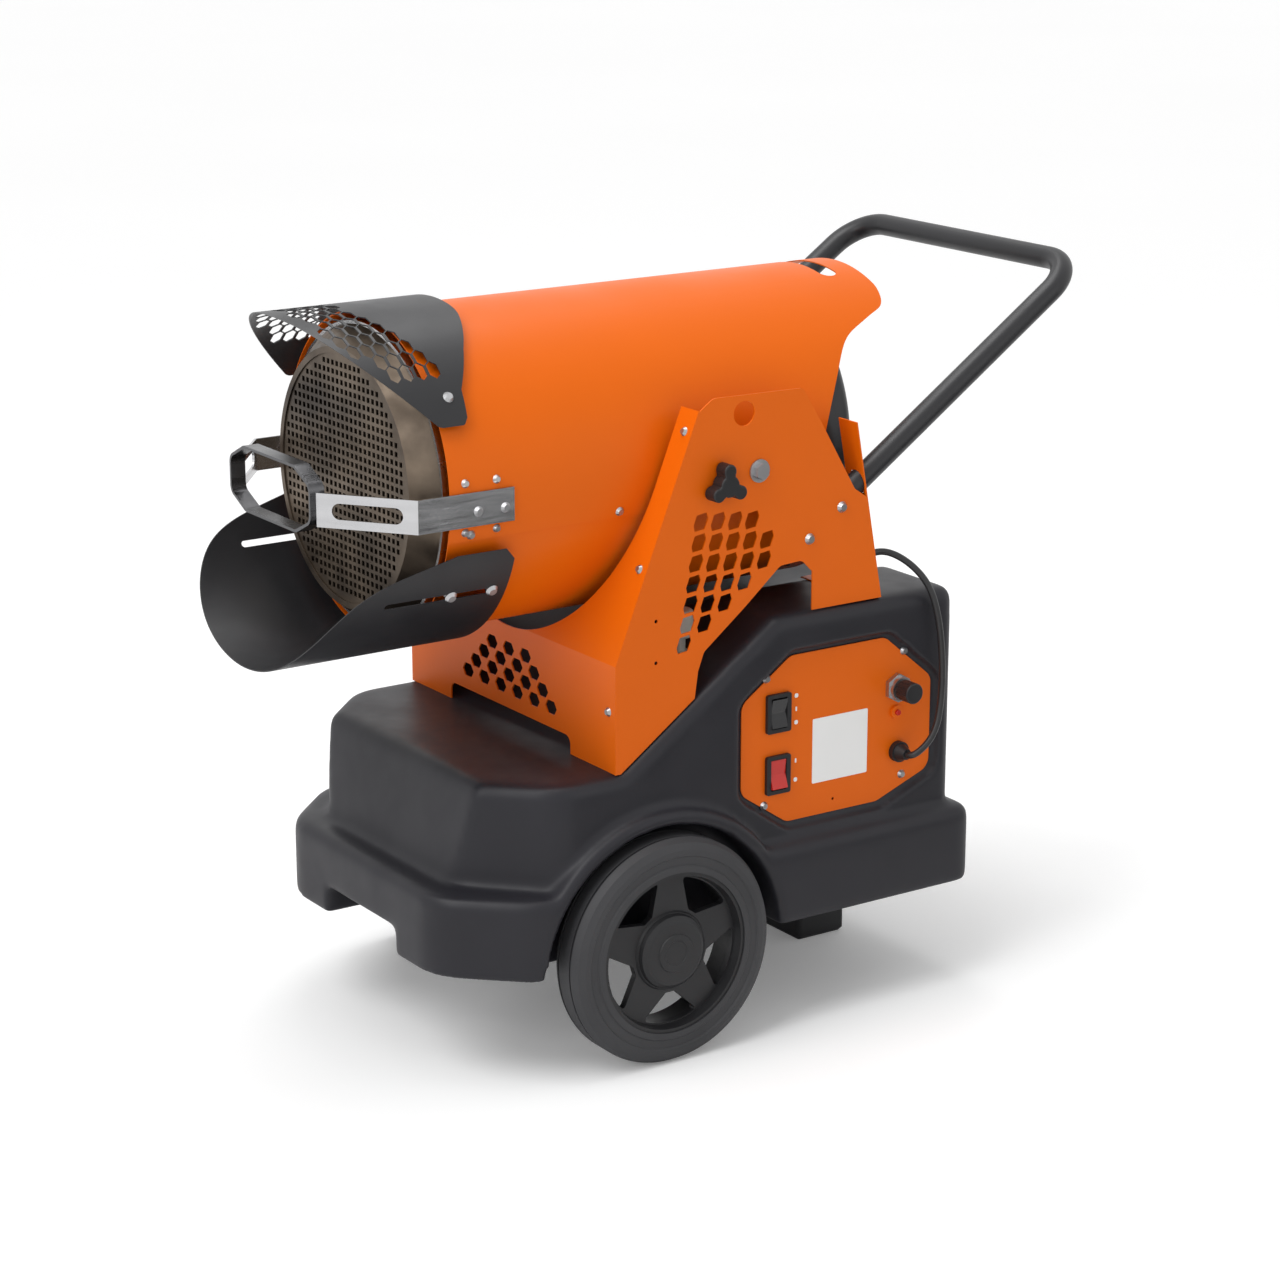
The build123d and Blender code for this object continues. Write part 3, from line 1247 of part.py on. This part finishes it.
def upper_gland():
    """Gland where the burner lead enters the cradle."""
    low = (Align.CENTER, Align.CENTER, Align.MIN)
    here = Plane(origin=UPPER_GLAND, z_dir=REAR_OUT)
    flange = Pos(0, 0, 0.1) * Cylinder(11, 5, align=low)
    tail = Pos(0, 0, -8) * Cylinder(7.9, 9, align=low)
    cone = Pos(0, 0, 5.1) * Cone(9, 6, 7, align=low)
    return here * (flange + tail + cone)


def lead_route():
    """Points of the burner lead, from the panel's gland over the tank's edge to the cradle."""
    start = (PANEL_X + 22, SOCKET_Y + 4, GLAND_Z)
    out = [UPPER_GLAND[i] + 12.2 * REAR_OUT[i] for i in range(3)]
    far = [UPPER_GLAND[i] + 30 * REAR_OUT[i] for i in range(3)]
    return [start, (PANEL_X + 36, SOCKET_Y + 4, GLAND_Z), (PANEL_X + 36, 424, GLAND_Z + 26),
            (PANEL_X + 30, 438, GLAND_Z + 76), (PANEL_X + 26, 440, GLAND_Z + 130), (PANEL_X + 24, 434, GLAND_Z + 182),
            (PANEL_X + 16, 424, GLAND_Z + 226), (PANEL_X - 6, 405, GLAND_Z + 256), tuple(far), tuple(out)]


def lead_radii(points):
    """Radius of the arc at each inner point, as large as the two runs beside it allow."""
    radii = []
    for a, b, c in zip(points, points[1:], points[2:]):
        before, after = Vector(*b) - Vector(*a), Vector(*c) - Vector(*b)
        turn = math.radians(before.get_angle(after))
        radii.append(0.45 * min(before.length, after.length) / math.tan(turn / 2))
    return radii


def burner_lead():
    """Black lead between the two glands."""
    points = lead_route()
    radii = lead_radii(points)
    path = FilletPolyline(*points, radius=radii)
    ahead = Vector(*points[1]) - Vector(*points[0])
    tube = sweep(Plane(origin=points[0], z_dir=ahead) * Circle(LEAD_R), path=path)
    length = path.length
    print("lead radii", [round(r, 1) for r in radii])
    print("lead length", round(length, 1), "volume ratio", round(tube.volume / (length * math.pi * LEAD_R ** 2), 4))
    return tube


def control_unit():
    """Burner control box on the panel's back."""
    x = PANEL_X - PANEL_THICK
    body = block(x - 34, x, 246, 346, 330, 420)
    return fillet(body.edges().filter_by(Axis.X), 3)


def panel_screws():
    """Four screws of the panel."""
    return group([screw((PANEL_X, y, z), (1.0, 0.0, 0.0), shank=6) for y, z in PANEL_SCREWS])


def rating_plate():
    """Blank light plate on the panel."""
    plate = block(PANEL_X, PANEL_X + 0.6, 247, 337, 317, 405)
    return fillet(plate.edges().filter_by(Axis.X), 2)


PARTS = {}


def build_root():
    """Tank, axle, cradle, handle and panel."""
    tank = tank_base() - rod_z(12, ramp_z(PICKUP_Y) - 40, 700, PICKUP_X, PICKUP_Y)
    tank -= trough()
    tank = drill(tank, [((PANEL_X, y, z), (1.0, 0.0, 0.0)) for y, z in PANEL_SCREWS], 2.5, 20)
    PARTS["tank_base"] = tank + filler_neck()
    axle_parts()
    PARTS["rear_foot"] = rear_foot()
    PARTS["fuel_cap"] = fuel_cap()
    PARTS["fuel_pickup"] = fuel_pickup() + fuel_filter()
    right, left = both_sides(side_plate())
    PARTS["cradle_side_right"] = drill(right, [(UPPER_GLAND, REAR_OUT)], 8)
    PARTS["cradle_side_left"] = left
    PARTS["cradle_front"] = cradle_front()
    PARTS["cradle_rear"] = cradle_rear()
    PARTS["chassis_screws"] = group([*cradle_screws(), *handle_screws(), *panel_screws()])
    PARTS["pivot_bolts"] = group(both_sides(pivot_bolt()))
    PARTS["rear_handle"] = handle()
    PARTS["control_panel"] = control_panel() + button_sleeve()
    PARTS["rating_plate"] = rating_plate()
    PARTS["switch_bodies"] = group([switch_body(SELECTOR_Z), switch_body(MAINS_Z)])
    PARTS["selector_rocker"] = rocker_key(SELECTOR_Z, 0)
    PARTS["mains_rocker"] = rocker_key(MAINS_Z, -7)
    PARTS["thermostat_socket"] = thermostat_socket()
    PARTS["thermostat_plug"] = thermostat_plug()
    PARTS["reset_button"] = reset_button()
    PARTS["lead_glands"] = group([panel_gland(), upper_gland()])
    PARTS["burner_lead"] = burner_lead()
    PARTS["control_unit"] = control_unit()


def build_barrel():
    """The tilting barrel, its burner and its shades."""
    PARTS["casing_upper"] = casing_upper()
    PARTS["casing_lower"] = casing_lower()
    PARTS["barrel_screws"] = group([*casing_screws(), *strap_screws()])
    PARTS["tilt_blocks"] = group(both_sides(tilt_block()))
    PARTS["tilt_knob_right"], PARTS["tilt_knob_left"] = both_sides(tilt_knob())
    PARTS["liner"] = liner()
    PARTS["liner_spacers"] = liner_spacers()
    PARTS["emitter_ring"] = emitter_ring()
    PARTS["emitter_disc"] = emitter_disc()
    PARTS["combustion_chamber"] = chamber()
    PARTS["bulkhead"] = bulkhead()
    PARTS["flame_tube"] = flame_tube()
    PARTS["nozzle_assembly"] = nozzle() + air_diffuser()
    PARTS["electrodes"] = electrodes()
    PARTS["fan_housing"] = fan_housing()
    PARTS["fan_wheel"] = fan_wheel()
    PARTS["fan_motor"] = fan_motor() + motor_mount()
    PARTS["fuel_pump"] = fuel_pump()
    PARTS["fuel_pipe"] = fuel_pipe()
    PARTS["ignition_transformer"] = transformer()
    PARTS["rear_cover"] = rear_cover()
    PARTS["visor"] = visor()
    PARTS["visor_fixings"] = visor_fixings()
    PARTS["lower_deflector"] = lower_deflector()
    PARTS["deflector_posts"] = deflector_posts()
    PARTS["side_straps"] = group(both_sides(strap()))
    PARTS["front_loop"] = front_loop()


def save():
    """One STEP file for each node, with the origin moved to the footprint's middle."""
    os.makedirs("parts", exist_ok=True)
    for name, shape in PARTS.items():
        export_step(Pos(0, -MIDDLE_Y, 0) * shape, f"parts/{name}.step")


build_root()
wheel_set()
build_barrel()
save()
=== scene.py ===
import json
import math

import bpy
import numpy as np
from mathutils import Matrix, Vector


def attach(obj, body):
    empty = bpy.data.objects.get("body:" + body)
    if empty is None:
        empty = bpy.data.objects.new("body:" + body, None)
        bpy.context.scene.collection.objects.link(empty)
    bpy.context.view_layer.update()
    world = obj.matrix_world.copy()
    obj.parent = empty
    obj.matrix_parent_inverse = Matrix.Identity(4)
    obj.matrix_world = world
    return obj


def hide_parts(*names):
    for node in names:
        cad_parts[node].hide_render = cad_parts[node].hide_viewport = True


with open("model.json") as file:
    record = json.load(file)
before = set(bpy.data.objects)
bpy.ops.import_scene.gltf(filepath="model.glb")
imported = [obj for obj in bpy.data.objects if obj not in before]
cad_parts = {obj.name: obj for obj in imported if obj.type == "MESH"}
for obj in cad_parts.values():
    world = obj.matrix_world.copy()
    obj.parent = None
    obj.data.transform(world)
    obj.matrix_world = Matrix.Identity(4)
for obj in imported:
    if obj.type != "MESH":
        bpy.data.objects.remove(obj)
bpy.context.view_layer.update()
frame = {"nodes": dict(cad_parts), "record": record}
nodes = frame["nodes"]


# Camera at the photograph's angle

def place_camera():
    """Long lens seen from the front right, a little above the barrel."""
    data = bpy.data.cameras.new("camera")
    data.lens = 90
    data.sensor_width = 36
    data.clip_end = 200
    camera = bpy.data.objects.new("camera", data)
    bpy.context.scene.collection.objects.link(camera)
    camera.location = (3.4138, -2.2859, 1.6415)
    aim = Vector((0.3, -0.1856, 0.5716)) - camera.location
    camera.rotation_euler = aim.to_track_quat("-Z", "Y").to_euler()
    bpy.context.scene.camera = camera


place_camera()


# Burner lead

LEAD_RADIUS = 0.0045
ROUTE = [
    (0.274, 0.258, 0.337),
    (0.288, 0.258, 0.337),
    (0.288, 0.294, 0.363),
    (0.282, 0.308, 0.413),
    (0.278, 0.31, 0.467),
    (0.276, 0.304, 0.519),
    (0.268, 0.294, 0.563),
    (0.246, 0.275, 0.593),
    (0.228, 0.246028, 0.609476),
    (0.228, 0.228526, 0.606227),
]


def burner_lead():
    """Black lead from the panel over the tank's edge into the cradle."""
    curve = bpy.data.curves.new("burner_lead_cord", "CURVE")
    curve.dimensions = "3D"
    spline = curve.splines.new("NURBS")
    spline.points.add(len(ROUTE) - 1)
    for point, place in zip(spline.points, ROUTE):
        point.co = (*place, 1.0)
        point.radius = LEAD_RADIUS
    spline.order_u = 3
    spline.use_endpoint_u = True
    spline.resolution_u = 12
    curve.bevel_depth = 1.0  # times each point's radius
    curve.bevel_resolution = 6
    curve.use_fill_caps = True
    lead = bpy.data.objects.new("burner_lead_cord", curve)
    bpy.context.scene.collection.objects.link(lead)
    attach(lead, "chassis")
    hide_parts("burner_lead")
    return lead


# Materials

def new_material(name):
    """Empty node material with its shader and output."""
    material = bpy.data.materials.new(name)
    material.use_nodes = True
    tree = material.node_tree
    tree.nodes.clear()
    shader = tree.nodes.new("ShaderNodeBsdfPrincipled")
    output = tree.nodes.new("ShaderNodeOutputMaterial")
    tree.links.new(shader.outputs["BSDF"], output.inputs["Surface"])
    return material, tree, shader


def noise(tree, scale, detail=4.0, stretch=(1.0, 1.0, 1.0)):
    """Noise in object space, stretched for brushed or rolled surfaces."""
    coords = tree.nodes.new("ShaderNodeTexCoord")
    mapping = tree.nodes.new("ShaderNodeMapping")
    mapping.inputs["Scale"].default_value = stretch
    texture = tree.nodes.new("ShaderNodeTexNoise")
    texture.inputs["Scale"].default_value = scale
    texture.inputs["Detail"].default_value = detail
    tree.links.new(coords.outputs["Object"], mapping.inputs["Vector"])
    tree.links.new(mapping.outputs["Vector"], texture.inputs["Vector"])
    return texture.outputs["Fac"]


def ramp(tree, source, low, high, first, last):
    """Colour that goes from first to last as the source goes from low to high."""
    node = tree.nodes.new("ShaderNodeValToRGB")
    node.color_ramp.elements[0].position = low
    node.color_ramp.elements[1].position = high
    node.color_ramp.elements[0].color = (*first, 1.0)
    node.color_ramp.elements[1].color = (*last, 1.0)
    tree.links.new(source, node.inputs["Fac"])
    return node.outputs["Color"]


def spread(tree, source, low, high):
    """Source's 0.3 to 0.7 moved to low to high."""
    node = tree.nodes.new("ShaderNodeMapRange")
    node.inputs["From Min"].default_value = 0.3
    node.inputs["From Max"].default_value = 0.7
    node.inputs["To Min"].default_value = low
    node.inputs["To Max"].default_value = high
    tree.links.new(source, node.inputs["Value"])
    return node.outputs["Result"]


def surface(name, color, vary, rough, metal=0.0, gloss=0.5, patch=6.0, grain=900.0, bump=0.1,
            depth=0.0002, stretch=(1.0, 1.0, 1.0)):
    """Material with slow colour changes, uneven gloss and a fine grain."""
    material, tree, shader = new_material(name)
    dark = tuple(c * (1.0 - vary) for c in color)
    light = tuple(min(1.0, c * (1.0 + vary)) for c in color)
    slow = noise(tree, patch, 5.0, stretch)
    tree.links.new(ramp(tree, slow, 0.3, 0.7, dark, light), shader.inputs["Base Color"])
    tree.links.new(spread(tree, noise(tree, patch * 3.0, 6.0, stretch), rough[0], rough[1]),
                   shader.inputs["Roughness"])
    fine = tree.nodes.new("ShaderNodeBump")
    fine.inputs["Strength"].default_value = bump
    fine.inputs["Distance"].default_value = depth
    tree.links.new(noise(tree, grain, 2.0, stretch), fine.inputs["Height"])
    tree.links.new(fine.outputs["Normal"], shader.inputs["Normal"])
    shader.inputs["Metallic"].default_value = metal
    shader.inputs["Specular IOR Level"].default_value = gloss
    return material


def heated_steel():
    """Steel browned by heat, darker in patches."""
    material, tree, shader = new_material("heated_steel")
    slow = noise(tree, 9.0, 6.0)
    tree.links.new(ramp(tree, slow, 0.32, 0.68, (0.045, 0.034, 0.026), (0.20, 0.155, 0.115)),
                   shader.inputs["Base Color"])
    tree.links.new(spread(tree, noise(tree, 40.0, 4.0), 0.3, 0.5), shader.inputs["Roughness"])
    fine = tree.nodes.new("ShaderNodeBump")
    fine.inputs["Strength"].default_value = 0.15
    fine.inputs["Distance"].default_value = 0.0004
    tree.links.new(noise(tree, 300.0, 3.0), fine.inputs["Height"])
    tree.links.new(fine.outputs["Normal"], shader.inputs["Normal"])
    shader.inputs["Metallic"].default_value = 0.85
    return material


STEEL_BRUSH = (1.0, 1.0, 8.0)
STRAP_BRUSH = (1.0, 1.0, 12.0)

MATERIALS = {
    "tank_plastic": surface("tank_plastic", (0.016, 0.0155, 0.020), 0.10, (0.40, 0.50), gloss=0.32,
                            grain=700.0, bump=0.25, depth=0.0003),
    "black_plastic": surface("black_plastic", (0.014, 0.014, 0.0155), 0.12, (0.38, 0.50), gloss=0.4,
                             grain=1100.0, bump=0.15),
    "black_gloss": surface("black_gloss", (0.012, 0.012, 0.013), 0.10, (0.15, 0.24), bump=0.03),
    "red_plastic": surface("red_plastic", (0.55, 0.018, 0.012), 0.08, (0.16, 0.26), bump=0.03),
    "filter_plastic": surface("filter_plastic", (0.62, 0.62, 0.56), 0.05, (0.25, 0.35), bump=0.03),
    "orange_paint": surface("orange_paint", (0.76, 0.130, 0.0015), 0.035, (0.36, 0.44), gloss=0.18,
                            patch=3.0, grain=1400.0, bump=0.10, depth=0.0002),
    "black_paint": surface("black_paint", (0.015, 0.015, 0.017), 0.10, (0.34, 0.44), gloss=0.42,
                           grain=1300.0, bump=0.18),
    "light_plate": surface("light_plate", (0.84, 0.84, 0.83), 0.02, (0.32, 0.40), bump=0.02),
    "screw_steel": surface("screw_steel", (0.42, 0.42, 0.43), 0.10, (0.26, 0.36), metal=0.9,
                           grain=1200.0, bump=0.08),
    "zinc_steel": surface("zinc_steel", (0.50, 0.50, 0.51), 0.10, (0.28, 0.40), metal=0.95, bump=0.08),
    "dark_steel": surface("dark_steel", (0.13, 0.13, 0.135), 0.15, (0.22, 0.34), metal=0.95,
                          grain=500.0, bump=0.10, stretch=STEEL_BRUSH),
    "bright_steel": surface("bright_steel", (0.56, 0.56, 0.57), 0.06, (0.18, 0.28), metal=1.0,
                            grain=500.0, bump=0.10, stretch=STRAP_BRUSH),
    "heated_steel": heated_steel(),
    "cast_metal": surface("cast_metal", (0.22, 0.22, 0.23), 0.15, (0.50, 0.62), metal=0.7, bump=0.3),
    "aluminium": surface("aluminium", (0.60, 0.60, 0.62), 0.08, (0.32, 0.42), metal=0.9, bump=0.10),
    "brass": surface("brass", (0.62, 0.43, 0.16), 0.08, (0.25, 0.35), metal=0.95, bump=0.06),
    "copper_pipe": surface("copper_pipe", (0.68, 0.32, 0.18), 0.10, (0.22, 0.34), metal=0.95, bump=0.06),
    "ceramic": surface("ceramic", (0.78, 0.76, 0.70), 0.04, (0.15, 0.22), bump=0.02),
    "tyre_rubber": surface("tyre_rubber", (0.032, 0.032, 0.035), 0.14, (0.58, 0.70), grain=600.0,
                           bump=0.3, depth=0.0004),
    "lead_rubber": surface("lead_rubber", (0.016, 0.016, 0.017), 0.12, (0.35, 0.45), grain=1200.0,
                           bump=0.10),
}


def paint(obj, slot_name):
    """Gives an object its slot's material."""
    obj.data.materials.clear()
    obj.data.materials.append(MATERIALS[slot_name])


def paint_nodes():
    """Material of every carried-over CAD node, from the record's slots."""
    for part in frame["record"]["subparts"]:
        node = nodes[part["node"]]
        paint(node, part["material_slot"])


paint_nodes()
lead_piece = burner_lead()
paint(lead_piece, "lead_rubber")


# Moulded tank

VOXEL = 0.0045
RELAX_STEPS = 9
FREE_STEP = 0.5
PANEL_STEP = 0.12
FILLER_X, FILLER_Y, FILLER_REACH, FILLER_LOW = -0.15, 0.288, 0.047, 0.535


def smoothing_weight(points):
    """How far each point may move at a step: little round the panel, nothing at the filler."""
    x, y, z = points.T
    weight = np.full(len(points), FREE_STEP)
    beside_panel = (x > 0.232) & (y > -0.025) & (y < 0.345) & (z > 0.255) & (z < 0.515)
    weight[beside_panel] = PANEL_STEP
    at_filler = (np.hypot(x - FILLER_X, y - FILLER_Y) < FILLER_REACH) & (z > FILLER_LOW)
    weight[at_filler] = 0.0
    return weight[:, None]


def relax(mesh, steps):
    """Moves every point towards its neighbours' middle, which rounds the edges."""
    count = len(mesh.vertices)
    flat = np.empty(count * 3)
    mesh.vertices.foreach_get("co", flat)
    points = flat.reshape(count, 3)
    ends = np.empty(len(mesh.edges) * 2, dtype=np.int64)
    mesh.edges.foreach_get("vertices", ends)
    first, second = ends.reshape(-1, 2).T
    degree = np.maximum(np.bincount(np.concatenate([first, second]), minlength=count), 1)[:, None]
    weight = smoothing_weight(points)
    for _ in range(steps):
        total = np.stack([np.bincount(first, points[second, k], count)
                          + np.bincount(second, points[first, k], count) for k in range(3)], axis=1)
        points = points + weight * (total / degree - points)
    mesh.vertices.foreach_set("co", points.ravel())
    mesh.update()


def moulded_tank():
    """The tank with the soft edges of a rotationally moulded shell."""
    rough = bpy.data.objects.new("tank_rough", nodes["tank_base"].data.copy())
    bpy.context.scene.collection.objects.link(rough)
    remesh = rough.modifiers.new("even", "REMESH")
    remesh.mode = "VOXEL"
    remesh.voxel_size = VOXEL
    shape = bpy.context.evaluated_depsgraph_get()
    mesh = bpy.data.meshes.new_from_object(rough.evaluated_get(shape))
    bpy.data.objects.remove(rough)
    relax(mesh, RELAX_STEPS)
    mesh.polygons.foreach_set("use_smooth", [True] * len(mesh.polygons))
    tank = bpy.data.objects.new("moulded_tank", mesh)
    bpy.context.scene.collection.objects.link(tank)
    paint(tank, "tank_plastic")
    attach(tank, "chassis")
    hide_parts("tank_base")


moulded_tank()


# Marks beside the rockers

MARK_Y = 0.090
MARK_BACK, MARK_FRONT = 0.2519, 0.2524
DOT = (0.0028, 0.0028)
DASH = (0.0012, 0.0030)
MARKS = [
    ("selector_mark_top", 0.442, DOT),
    ("selector_mark_middle", 0.424, DASH),
    ("selector_mark_low", 0.406, DOT),
    ("mains_mark_top", 0.354, DASH),
    ("mains_mark_low", 0.328, DOT),
]


def mark(name, y, z, half_y, half_z):
    """Small raised mark on the panel, a bar with bevelled corners."""
    cut = min(half_y, half_z) * 0.5
    ring = [(-half_y + cut, -half_z), (half_y - cut, -half_z),
            (half_y, -half_z + cut), (half_y, half_z - cut),
            (half_y - cut, half_z), (-half_y + cut, half_z),
            (-half_y, half_z - cut), (-half_y, -half_z + cut)]
    points = [(x, y + a, z + b) for x in (MARK_BACK, MARK_FRONT) for a, b in ring]
    count = len(ring)
    faces = [tuple(range(count))[::-1], tuple(range(count, 2 * count))]
    faces += [(i, (i + 1) % count, (i + 1) % count + count, i + count) for i in range(count)]
    mesh = bpy.data.meshes.new(name)
    mesh.from_pydata(points, [], faces)
    piece = bpy.data.objects.new(name, mesh)
    bpy.context.scene.collection.objects.link(piece)
    paint(piece, "light_plate")
    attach(piece, "chassis")


for mark_name, height, (across, up) in MARKS:
    mark(mark_name, MARK_Y, height, across, up)


# Light and floor

FLOOR_HALF = 60.0
FLOOR_LIFT = 0.13
WORLD_LEVEL = 0.56
SUN_LEVEL = 1.25
CARD_NEAR, CARD_RIGHT, CARD_FRONT, CARD_BACK, CARD_UP = 0.9, 3.6, 0.1, 3.0, 0.01


def area_light(name, place, aim, size, power):
    """Soft rectangular lamp."""
    data = bpy.data.lights.new(name, "AREA")
    data.shape = "RECTANGLE"
    data.size = size[0]
    data.size_y = size[1]
    data.energy = power
    lamp = bpy.data.objects.new(name, data)
    bpy.context.scene.collection.objects.link(lamp)
    lamp.location = place
    direction = Vector(aim) - Vector(place)
    lamp.rotation_euler = direction.to_track_quat("-Z", "Y").to_euler()


def scaled(tree, source, factor):
    """Source times factor."""
    node = tree.nodes.new("ShaderNodeMath")
    node.operation = "MULTIPLY"
    node.inputs[1].default_value = factor
    tree.links.new(source, node.inputs[0])
    return node.outputs["Value"]


def card():
    """Dark card on the floor at the right that only shows in gloss and metal."""
    mesh = bpy.data.meshes.new("dark_card")
    corners = [(CARD_NEAR, CARD_FRONT, CARD_UP), (CARD_RIGHT, CARD_FRONT, CARD_UP),
               (CARD_RIGHT, CARD_BACK, CARD_UP), (CARD_NEAR, CARD_BACK, CARD_UP)]
    mesh.from_pydata(corners, [], [(0, 1, 2, 3)])
    piece = bpy.data.objects.new("dark_card", mesh)
    bpy.context.scene.collection.objects.link(piece)
    material, tree, shader = new_material("dark_card")
    tree.links.new(ramp(tree, noise(tree, 0.8, 2.0), 0.2, 0.8, (0.02, 0.02, 0.02), (0.03, 0.03, 0.03)),
                   shader.inputs["Base Color"])
    shader.inputs["Roughness"].default_value = 0.9
    shader.inputs["Specular IOR Level"].default_value = 0.0
    mesh.materials.append(material)
    piece.visible_camera = False
    piece.visible_diffuse = False
    piece.visible_shadow = False


def floor():
    """Pale studio floor, a little lighter to the camera than to the heater."""
    mesh = bpy.data.meshes.new("floor")
    half = FLOOR_HALF
    corners = [(-half, -half, 0), (half, -half, 0), (half, half, 0), (-half, half, 0)]
    mesh.from_pydata(corners, [], [(0, 1, 2, 3)])
    piece = bpy.data.objects.new("floor", mesh)
    bpy.context.scene.collection.objects.link(piece)
    material, tree, shader = new_material("studio_floor")
    tree.links.new(ramp(tree, noise(tree, 0.5, 2.0), 0.2, 0.8, (0.93, 0.93, 0.93), (0.95, 0.95, 0.95)),
                   shader.inputs["Base Color"])
    shader.inputs["Roughness"].default_value = 0.9
    shader.inputs["Specular IOR Level"].default_value = 0.1
    path = tree.nodes.new("ShaderNodeLightPath")
    shader.inputs["Emission Color"].default_value = (1.0, 1.0, 1.0, 1.0)
    tree.links.new(scaled(tree, path.outputs["Is Camera Ray"], FLOOR_LIFT),
                   shader.inputs["Emission Strength"])
    mesh.materials.append(material)


def studio():
    """White surroundings that light the heater a little less than they show, the lamps, and the view."""
    scene = bpy.context.scene
    world = bpy.data.worlds.new("studio")
    scene.world = world
    world.use_nodes = True
    tree = world.node_tree
    tree.nodes.clear()
    output = tree.nodes.new("ShaderNodeOutputWorld")
    seen = tree.nodes.new("ShaderNodeBackground")
    lit = tree.nodes.new("ShaderNodeBackground")
    mix = tree.nodes.new("ShaderNodeMixShader")
    path = tree.nodes.new("ShaderNodeLightPath")
    either = tree.nodes.new("ShaderNodeMath")
    either.operation = "MAXIMUM"
    tree.links.new(path.outputs["Is Camera Ray"], either.inputs[0])
    tree.links.new(path.outputs["Is Glossy Ray"], either.inputs[1])
    seen.inputs["Color"].default_value = (1.0, 1.0, 1.0, 1.0)
    seen.inputs["Strength"].default_value = 1.0
    lit.inputs["Color"].default_value = (1.0, 1.0, 1.0, 1.0)
    lit.inputs["Strength"].default_value = WORLD_LEVEL
    tree.links.new(either.outputs["Value"], mix.inputs["Fac"])
    tree.links.new(lit.outputs["Background"], mix.inputs[1])
    tree.links.new(seen.outputs["Background"], mix.inputs[2])
    tree.links.new(mix.outputs["Shader"], output.inputs["Surface"])
    scene.view_settings.view_transform = "Standard"
    scene.view_settings.look = "None"
    sun = bpy.data.lights.new("sun", "SUN")
    sun.energy = SUN_LEVEL
    sun.angle = 0.6
    lamp = bpy.data.objects.new("sun", sun)
    scene.collection.objects.link(lamp)
    lamp.rotation_euler = (math.radians(30), math.radians(-2), math.radians(4))
    area_light("key", (1.5, -4.2, 2.7), (0.1, -0.2, 0.5), (1.2, 1.2), 34)
    area_light("side", (3.6, 1.8, 1.8), (0.2, 0.0, 0.5), (0.5, 2.0), 4)
    area_light("top", (-0.4, 0.2, 3.2), (0.0, 0.0, 0.5), (1.0, 2.4), 24)


floor()
card()
studio()
